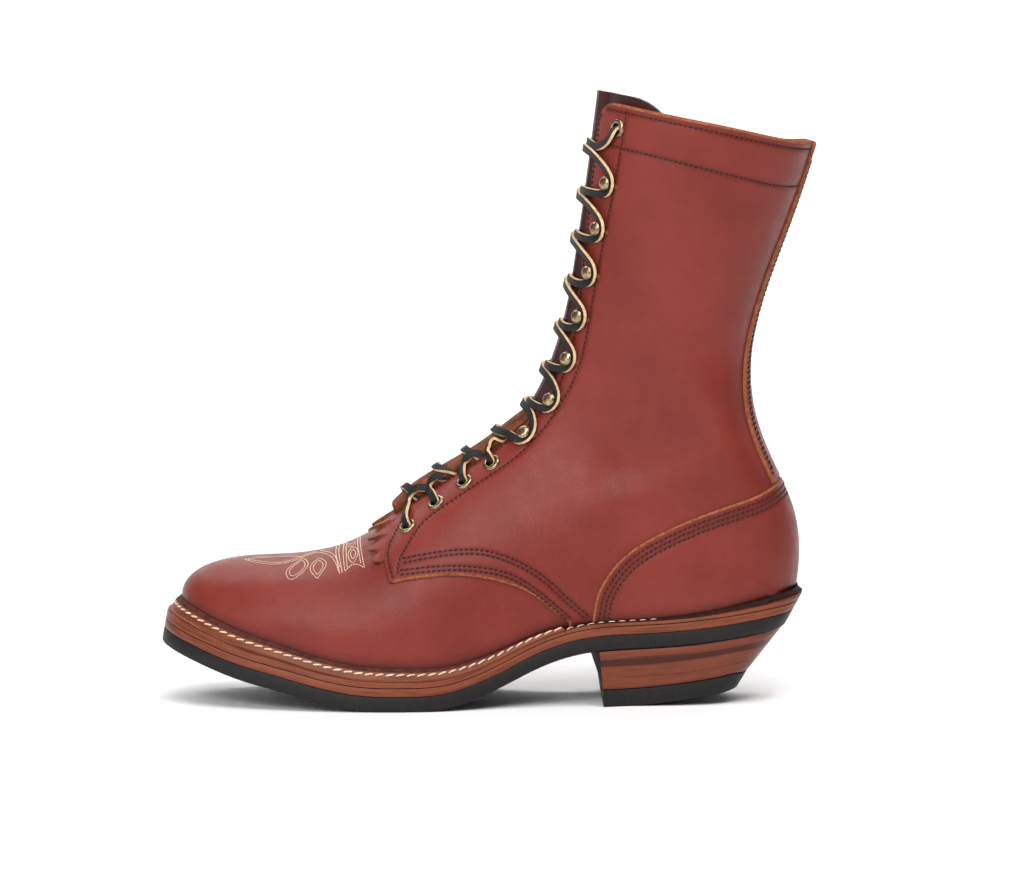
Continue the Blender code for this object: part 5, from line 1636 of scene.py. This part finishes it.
def seam_lines(side):
    """The seams of one side as (piece, line, normals)."""

    def on_quarter(line):
        return ("quarter", *side_line(line, side, QUARTER_FACE))

    seams = [on_quarter(smooth_line(EYESTAY_SEAM, SEAM_STEP))]
    rows = np.arange(*THROAT_SEAM_ROWS)
    turns = turn_at_width(rows, throat_gap(rows, side) + FRONT_SEAM_INSET, side)
    seams.append(("quarter", *placed_line(rows, turns, side, QUARTER_FACE)))
    front = moved_aside(smooth_line(QUARTER_FRONT_EDGE, SEAM_STEP), -FRONT_SEAM_INSET)
    seams.append(on_quarter(front[FRONT_SEAM_POINTS]))
    for line in (LOWER_SEAM, UPPER_SEAM):
        for aside in (-DOUBLE_ROW_GAP, DOUBLE_ROW_GAP):
            seams.append(on_quarter(moved_aside(smooth_line(line, SEAM_STEP), aside)))
    first = float(turn_at_width(COLLAR_SEAM_START_ROW, COLLAR_SEAM_START, side))
    turns = np.linspace(first, COLLAR_SEAM_LAST_TURN, COLLAR_SEAM_POINTS)
    top, pace = collar_row(turns, side)
    for below in COLLAR_SEAMS:
        seams.append(("quarter", *placed_line(top - below / pace, turns, side, QUARTER_FACE)))
    for piece, insides, ends, field, first_turn in (
        ("counter", COUNTER_SEAMS, COUNTER_SEAM_ROWS, counter_field, COUNTER_FIRST_TURN),
        ("backstay", BACKSTAY_SEAMS, BACKSTAY_SEAM_ROWS, backstay_field, BACKSTAY_FIRST_TURN),
    ):
        for inside in insides:
            seams.append((piece, *level_line(np.arange(*ends), side, field, inside, first_turn)))
    return seams


def stitch_shape(radius, length):
    """Points and faces of one stitch, along X with Z away from the leather."""
    angles = np.linspace(0.0, 2 * math.pi, STITCH_SIDES + 1)[:-1]
    circle = np.stack([np.zeros(STITCH_SIDES), np.cos(angles), np.sin(angles)], axis=1)
    rings = []
    for share, thick in STITCH_RINGS:
        height = radius * (STITCH_RISE - STITCH_DIP * abs(share) ** 3)
        rings.append(np.array([share * length / 2, 0.0, height]) + radius * thick * circle)
    return np.concatenate(rings), tube_faces(len(rings), STITCH_SIDES)


def stitches(line, normals, kind):
    """Points, faces and kinds of face of a row of stitches along a line on the leather."""
    size = dict(zip(THREAD_COLUMNS, THREADS[kind]))
    shape, shape_faces = stitch_shape(size["radius"], size["length"])
    way = way_along(line)
    places = np.arange(size["pitch"] / 2, way[-1] - size["length"] / 2, size["pitch"])
    up = unit(read_along(places, way, normals))
    run = read_along(places + STITCH_REACH, way, line) - read_along(places - STITCH_REACH, way, line)
    run = unit(run - (run * up).sum(axis=1, keepdims=True) * up)
    slant = math.radians(size["slant"])
    ahead = run * math.cos(slant) + np.cross(up, run) * math.sin(slant)
    axes = np.stack([ahead, np.cross(up, ahead), up], axis=1)
    points = read_along(places, way, line)[:, None] + shape @ axes
    faces = [[i + len(shape) * n for i in face] for n in range(len(places)) for face in shape_faces]
    return points.reshape(-1, 3), faces, [0] * len(faces)


def toe_lines():
    rows = np.linspace(*TOE_STITCH_ROWS, TOE_SAMPLES)
    ridge_x = section(rows)["ridge_x"]
    lines = []
    for side in SIDES.values():
        for line in TOE_STITCH:
            x, across = smooth_line(line, TOE_STEP).T
            row = np.interp(x, ridge_x, rows)
            turn = turn_at_width(row, np.maximum(across, 0.0), side)
            lines.append(placed_line(row, turn, side, 0.0))
    return lines


def welt_seam():
    """The welt's stitch lines along both sides, and on along the rand."""
    lines = []
    for side in SIDES.values():
        rand = rand_lines(side)
        rand = rand[rand[:, 2, 0] < WELT_SEAM_END_X]
        for strip, share in ((welt_lines(side), WELT_SEAM_SHARE), (rand, RAND_SEAM_SHARE)):
            inner, outer = strip[:, 2], strip[:, 3]
            line = inner * (1 - share) + outer * share
            up = unit(np.cross(outer - inner, np.gradient(line, axis=0)))
            lines.append((line, up * np.sign(up[:, 2:3])))
    return lines


def build_stitches():
    upper_seams = [seam[1:] for side in SIDES.values() for seam in SEAMS[side]]
    for kind, lines, finish, slot in (
        ("upper", upper_seams, THREAD_DARK, "oiled_leather"),
        ("toe", toe_lines(), THREAD_CREAM, "oiled_leather"),
        ("welt", welt_seam(), THREAD_CREAM, "sole_leather"),
    ):
        points, faces, kinds = joined([stitches(line, normals, kind) for line, normals in lines])
        make_piece(f"{kind}_stitches", points, faces, [finish], (), kinds, sharp=THREAD_SHARP)


# Materials


class Finish:
    """A procedural material, with short ways to add the nodes it needs."""

    def __init__(self, name, roughness, gloss=0.2):
        self.material = bpy.data.materials.new(name)
        self.material.use_nodes = True
        self.tree = self.material.node_tree
        self.shader = self.tree.nodes["Principled BSDF"]
        self.shader.inputs["Roughness"].default_value = roughness
        self.shader.inputs["Specular IOR Level"].default_value = gloss
        self.coordinates = self.tree.nodes.new("ShaderNodeTexCoord").outputs["Object"]

    def link(self, source, target):
        self.tree.links.new(source, target)

    def noise(self, size_mm, detail=2.0, rough=0.5, vector=None):
        node = self.tree.nodes.new("ShaderNodeTexNoise")
        node.inputs["Scale"].default_value = 1000.0 / size_mm
        node.inputs["Detail"].default_value = detail
        node.inputs["Roughness"].default_value = rough
        self.link(vector or self.coordinates, node.inputs["Vector"])
        return node.outputs["Fac"]

    def cells(self, size_mm):
        node = self.tree.nodes.new("ShaderNodeTexVoronoi")
        node.inputs["Scale"].default_value = 1000.0 / size_mm
        self.link(self.coordinates, node.inputs["Vector"])
        return node.outputs["Distance"]

    def ramp(self, value, stops):
        node = self.tree.nodes.new("ShaderNodeValToRGB")
        ramp = node.color_ramp
        while len(ramp.elements) < len(stops):
            ramp.elements.new(0.5)
        for element, (place, colour) in zip(ramp.elements, stops):
            element.position = place
            element.color = (*colour, 1.0)
        self.link(value, node.inputs["Fac"])
        return node.outputs["Color"]

    def mix(self, share, first, second, kind="MIX"):
        node = self.tree.nodes.new("ShaderNodeMix")
        node.data_type = "RGBA"
        node.blend_type = kind
        sockets = [socket for socket in node.inputs if socket.type == "RGBA"]
        for socket, colour in zip(sockets, (first, second)):
            if isinstance(colour, tuple):
                socket.default_value = (*colour, 1.0)
            else:
                self.link(colour, socket)
        if isinstance(share, float):
            node.inputs["Factor"].default_value = share
        else:
            self.link(share, node.inputs["Factor"])
        return next(socket for socket in node.outputs if socket.type == "RGBA")

    def span(self, value, low, high, start=0.0, end=1.0):
        node = self.tree.nodes.new("ShaderNodeMapRange")
        for name, number in (("From Min", low), ("From Max", high), ("To Min", start), ("To Max", end)):
            node.inputs[name].default_value = number
        self.link(value, node.inputs["Value"])
        return node.outputs["Result"]

    def math(self, kind, first, second):
        node = self.tree.nodes.new("ShaderNodeMath")
        node.operation = kind
        for socket, value in zip(node.inputs, (first, second)):
            if isinstance(value, float):
                socket.default_value = value
            else:
                self.link(value, socket)
        return node.outputs["Value"]

    def field(self, name):
        node = self.tree.nodes.new("ShaderNodeAttribute")
        node.attribute_name = name
        return node.outputs["Fac"]

    def colour(self, source):
        self.link(source, self.shader.inputs["Base Color"])

    def roughness(self, source):
        self.link(source, self.shader.inputs["Roughness"])

    def bump(self, height, depth_mm, strength=1.0):
        """Adds one more layer of bump on top of those already there."""
        node = self.tree.nodes.new("ShaderNodeBump")
        node.inputs["Distance"].default_value = depth_mm * MM
        node.inputs["Strength"].default_value = strength
        self.link(height, node.inputs["Height"])
        before = self.shader.inputs["Normal"].links
        if before:
            self.link(before[0].from_socket, node.inputs["Normal"])
        self.link(node.outputs["Normal"], self.shader.inputs["Normal"])


def leather(name, deep, middle, light, roughness, seams):
    """Oiled leather: cloudy colour, fine grain, pores and a soft sheen."""
    made = Finish(name, roughness)
    cloud = made.noise(46.0, 4.0, 0.6)
    colour = made.ramp(cloud, ((0.3, deep), (0.52, middle), (0.75, light)))
    grain = made.noise(0.55, 2.0, 0.6)
    pores = made.cells(0.8)
    colour = made.mix(made.span(grain, 0.3, 0.75, 0.0, 0.3), colour, deep)
    if seams:
        # Seams darken; foot paints shade, with some dirt, above the welt; wear is lighter rubbed leather
        # beside the hooks.
        for field, low, high, most, tint in (
            ("seam", 0.0, 1.0, 0.55, tuple(0.45 * part for part in deep)),
            ("foot", 0.1, 1.0, 0.85, tuple(0.2 * part for part in deep)),
            ("wear", 0.35, 0.9, 0.8, WORN_LEATHER),
        ):
            colour = made.mix(made.span(made.field(field), low, high, 0.0, most), colour, tint)
        made.bump(made.field("seam"), -SEAM_DEPTH)
    made.colour(colour)
    made.roughness(made.span(made.noise(7.0, 3.0), 0.3, 0.7, roughness - 0.06, roughness + 0.07))
    made.bump(made.noise(9.0, 2.0), 0.12)
    made.bump(made.noise(1.3, 3.0, 0.6), 0.11)
    made.bump(grain, 0.06)
    made.bump(pores, 0.05)
    return made.material


def raw_leather(name, deep, light, size_mm):
    """A cut edge or the flesh side: matt, fibrous, blotchy."""
    made = Finish(name, 0.8)
    fibres = made.noise(size_mm, 5.0, 0.7)
    made.colour(made.ramp(fibres, ((0.3, deep), (0.65, light))))
    made.bump(made.noise(size_mm * 0.5, 3.0, 0.7), 0.25)
    return made.material


def suede(name, deep, light):
    made = Finish(name, 0.95)
    nap = made.noise(1.3, 6.0, 0.75)
    made.colour(made.ramp(made.mix(0.5, nap, made.noise(6.0, 3.0)), ((0.35, deep), (0.65, light))))
    made.bump(nap, 0.6)
    made.shader.inputs["Sheen Weight"].default_value = 0.06
    made.shader.inputs["Sheen Roughness"].default_value = 0.5
    return made.material


def layered(name, deep, light, layer_mm, roughness, level_mm=1.0, bands=()):
    """A burnished edge of stacked sole leather, streaked along its layers, darker in bands at some levels."""
    made = Finish(name, roughness)
    split_axes = made.tree.nodes.new("ShaderNodeSeparateXYZ")
    made.link(made.coordinates, split_axes.inputs[0])
    level = made.field("level")
    join = made.tree.nodes.new("ShaderNodeCombineXYZ")
    for axis in "XY":
        made.link(made.math("MULTIPLY", split_axes.outputs[axis], STREAK_SHRINK), join.inputs[axis])
    made.link(made.math("MULTIPLY", level, MM * level_mm), join.inputs["Z"])
    streaks = made.noise(1.6, 5.0, 0.65, join.outputs["Vector"])
    broad = made.noise(layer_mm, 2.0, 0.5, join.outputs["Vector"])
    colour = made.ramp(made.mix(0.45, streaks, broad), ((0.32, deep), (0.52, light), (0.7, deep)))
    speckle = made.span(made.noise(1.1, 4.0, 0.7), 0.55, 0.75, 0.0, 0.35)
    colour = made.mix(speckle, colour, deep)
    if bands:
        darker = tuple(0.6 * part for part in deep)
        colour = made.mix(made.ramp(level, [(place, (dark,) * 3) for place, dark in bands]), colour, darker)
    made.colour(colour)
    made.roughness(made.span(streaks, 0.3, 0.7, roughness - 0.08, roughness + 0.12))
    made.bump(streaks, 0.25)
    made.bump(made.noise(0.9, 3.0), 0.08)
    return made.material


def rubber(name):
    made = Finish(name, 0.55)
    grain = made.noise(1.0, 4.0, 0.7)
    made.colour(made.ramp(grain, ((0.3, (0.009, 0.0085, 0.008)), (0.7, (0.019, 0.0175, 0.017)))))
    made.roughness(made.span(made.noise(5.0, 3.0), 0.3, 0.7, 0.48, 0.66))
    made.bump(grain, 0.12)
    return made.material


def metal(name):
    made = Finish(name, 0.3)
    made.shader.inputs["Metallic"].default_value = 1.0
    age = made.noise(2.2, 4.0, 0.6)
    made.colour(made.ramp(age, ((0.32, (0.17, 0.11, 0.06)), (0.6, (0.42, 0.31, 0.19)))))
    made.roughness(made.span(age, 0.3, 0.7, 0.42, 0.24))
    made.bump(made.noise(0.7, 2.0), 0.03)
    return made.material


def thread(name, deep, light):
    made = Finish(name, 0.6)
    made.colour(made.ramp(made.noise(1.2, 3.0, 0.7), ((0.3, deep), (0.65, light))))
    made.bump(made.noise(0.35, 2.0), 0.12)
    return made.material


def studio_white(name):
    made = Finish(name, 0.8)
    made.colour(made.ramp(made.noise(400.0), ((0.0, (0.93, 0.93, 0.93)), (1.0, (0.96, 0.96, 0.96)))))
    return made.material


# Stage


def build_stage():
    """A white floor that curves up into a backdrop."""
    bend = np.linspace(0.0, math.pi / 2, BACKDROP_STEPS)
    profile = [(FLOOR_FRONT, 0.0)]
    profile += [(FLOOR_BACK + BACKDROP_BEND * math.sin(a), BACKDROP_BEND * (1 - math.cos(a))) for a in bend]
    profile.append((FLOOR_BACK + BACKDROP_BEND, BACKDROP_TOP))
    points = [(x, y, z) for y, z in profile for x in (-FLOOR_SIDE, FLOOR_SIDE)]
    faces = [(2 * i, 2 * i + 1, 2 * i + 3, 2 * i + 2) for i in range(len(profile) - 1)]
    mesh = bpy.data.meshes.new("floor")
    mesh.from_pydata(points, [], faces)
    mesh.materials.append(studio_white("studio_white"))
    mesh.polygons.foreach_set("use_smooth", np.ones(len(faces), bool))
    floor = bpy.data.objects.new("floor", mesh)
    bpy.context.scene.collection.objects.link(floor)


def add_light(name, place, look, size, watts):
    lamp = bpy.data.lights.new(name, "AREA")
    lamp.shape = "RECTANGLE"
    lamp.size, lamp.size_y = size
    lamp.energy = watts
    thing = bpy.data.objects.new(name, lamp)
    thing.location = place
    thing.rotation_euler = (Vector(look) - Vector(place)).to_track_quat("-Z", "Y").to_euler()
    bpy.context.scene.collection.objects.link(thing)


def build_view():
    scene = bpy.context.scene
    lens = bpy.data.cameras.new("camera")
    way = Vector(CAMERA_LOOK) - Vector(CAMERA_PLACE)
    lens.sensor_width = SENSOR
    lens.lens = SENSOR * way.length / CAMERA_WIDTH_SEEN
    lens.clip_start, lens.clip_end = 0.1, 50.0
    camera = bpy.data.objects.new("camera", lens)
    camera.location = CAMERA_PLACE
    camera.rotation_euler = way.to_track_quat("-Z", "Y").to_euler()
    scene.collection.objects.link(camera)
    scene.camera = camera
    world = bpy.data.worlds.new("studio")
    world.use_nodes = True
    sky = world.node_tree.nodes["Background"]
    sky.inputs["Color"].default_value = (1.0, 1.0, 1.0, 1.0)
    sky.inputs["Strength"].default_value = WORLD_LIGHT
    scene.world = world
    scene.view_settings.view_transform = "Standard"
    for name, light in LIGHTS.items():
        add_light(name, *light)


def wear_places():
    """Points on both quarters where the lace has rubbed them beside the hooks."""
    rubbed = locate(np.add(HOOKS, WEAR_OFFSET), OUTER, QUARTER_FACE)
    return np.concatenate([raised(*rubbed.T, side, QUARTER_FACE) for side in SIDES.values()])


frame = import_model()

# Finishes, from their dark to their light colours
RED = (0.145, 0.02, 0.0135), (0.187, 0.027, 0.0195), (0.216, 0.034, 0.0255)
BROWN = (0.03, 0.009, 0.008), (0.05, 0.015, 0.013), (0.065, 0.02, 0.017)
LEATHER_RED = leather("red_leather", *RED, 0.4, True)
TONGUE_BROWN = leather("tongue_brown", *BROWN, 0.42, False)
RAW_EDGE = raw_leather("raw_edge", (0.11, 0.032, 0.014), (0.36, 0.115, 0.042), 2.0)
FRINGE_EDGE = raw_leather("fringe_edge", (0.07, 0.022, 0.010), (0.27, 0.085, 0.030), 1.6)
LINING = raw_leather("lining", (0.20, 0.075, 0.034), (0.36, 0.15, 0.07), 9.0)
SUEDE = suede("suede", (0.02, 0.006, 0.003), (0.27, 0.075, 0.023))
# Dark finishes for the welt's and rand's faces against the upper: painted shade, with some dirt on the welt.
WELT_SHADE_AND_DIRT = raw_leather("welt_shade_and_dirt", (0.028, 0.008, 0.006), (0.10, 0.024, 0.016), 3.0)
RAND_SHADE = raw_leather("rand_top_shade", (0.006, 0.003, 0.002), (0.036, 0.012, 0.009), 3.0)
SOLE_EDGE_BROWN = layered("sole_edge", (0.07, 0.018, 0.010), (0.215, 0.056, 0.026), 3.2, 0.42)
STACK_COLOURS = (0.06, 0.015, 0.009), (0.185, 0.046, 0.023)
STACK_BROWN = layered("stack_edge", *STACK_COLOURS, 5.0, 0.36, STACK_HEIGHT, STACK_BANDS)
# The heel's breast lies in shadow under the sole and is painted near black: painted shade.
BREAST_SHADE = raw_leather("heel_breast_shade", (0.008, 0.004, 0.003), (0.025, 0.011, 0.008), 4.0)
RUBBER = rubber("black_rubber_sole")
# Every other face along the top lift's lowest edge is painted near black: painted shade for notches that have
# no depth of their own.
NOTCH_SHADE = raw_leather("lift_notch_shade", (0.003, 0.003, 0.003), (0.006, 0.006, 0.006), 3.0)
BRASS = metal("antique_brass")
LACE_BLACK = thread("lace_black", (0.006, 0.006, 0.006), (0.02, 0.02, 0.02))
LACE_EDGE = raw_leather("lace_edge", (0.45, 0.24, 0.10), (0.85, 0.62, 0.36), 1.5)
THREAD_DARK = thread("thread_dark", (0.018, 0.005, 0.005), (0.05, 0.013, 0.012))
THREAD_CREAM = thread("thread_cream", (0.50, 0.35, 0.20), (0.88, 0.76, 0.56))
INSOLE_TAN = raw_leather("insole_tan", (0.28, 0.15, 0.07), (0.5, 0.31, 0.17), 14.0)

# Places that several pieces share
HOLES = {side: surface(*hardware_spots("eyelet", EYELETS).T, side) for side in SIDES.values()}
WEAR_PLACES = wear_places()
QUARTER_SHAPE = quarter_shape()
COUNTER_SHAPE = counter_shape(0.0)
BACKSTAY_FOOT = counter_shape(BACKSTAY_FOOT_GAP)
SEAMS = {side: seam_lines(side) for side in SIDES.values()}
SEAM_LINES = {}
for seam_side, seams in SEAMS.items():
    for seam_piece, seam_line, _ in seams:
        SEAM_LINES.setdefault((seam_piece, seam_side), []).append(seam_line)

# The boot, its stage and its view
build_stage()
build_view()
build_upper()
build_quarters()
build_overlay("counter", COUNTER_ROWS, COUNTER_FIRST_TURN, counter_field)
build_overlay("backstay", BACKSTAY_ROWS, BACKSTAY_FIRST_TURN, backstay_field)
build_tongue()
build_kiltie()
sole_band("outsole_rubber", OUTSOLE_PROFILE, RUBBER, "outsole")
sole_band("midsole_leather", MIDSOLE_PROFILE, SOLE_EDGE_BROWN, "midsole")
build_strip("welt_leather", welt_lines, WELT_SHADE_LINES, [SOLE_EDGE_BROWN, WELT_SHADE_AND_DIRT], "welt")
build_strip("rand_leather", rand_lines, RAND_SHADE_LINES, [SOLE_EDGE_BROWN, RAND_SHADE], "heel_rand")
# The lift's notches are painted shade.
heel_band("top_lift_rubber", LIFT_PROFILE, [RUBBER, RUBBER, NOTCH_SHADE], "top_lift")
# The stack's breast takes the painted shade.
stack_finishes = [STACK_BROWN, BREAST_SHADE, STACK_BROWN]
heel_band("stack_leather", STACK_PROFILE, stack_finishes, "heel_stack")
build_hardware()
build_lace()
build_stitches()
frame["nodes"]["insole"].data.materials.clear()
frame["nodes"]["insole"].data.materials.append(INSOLE_TAN)
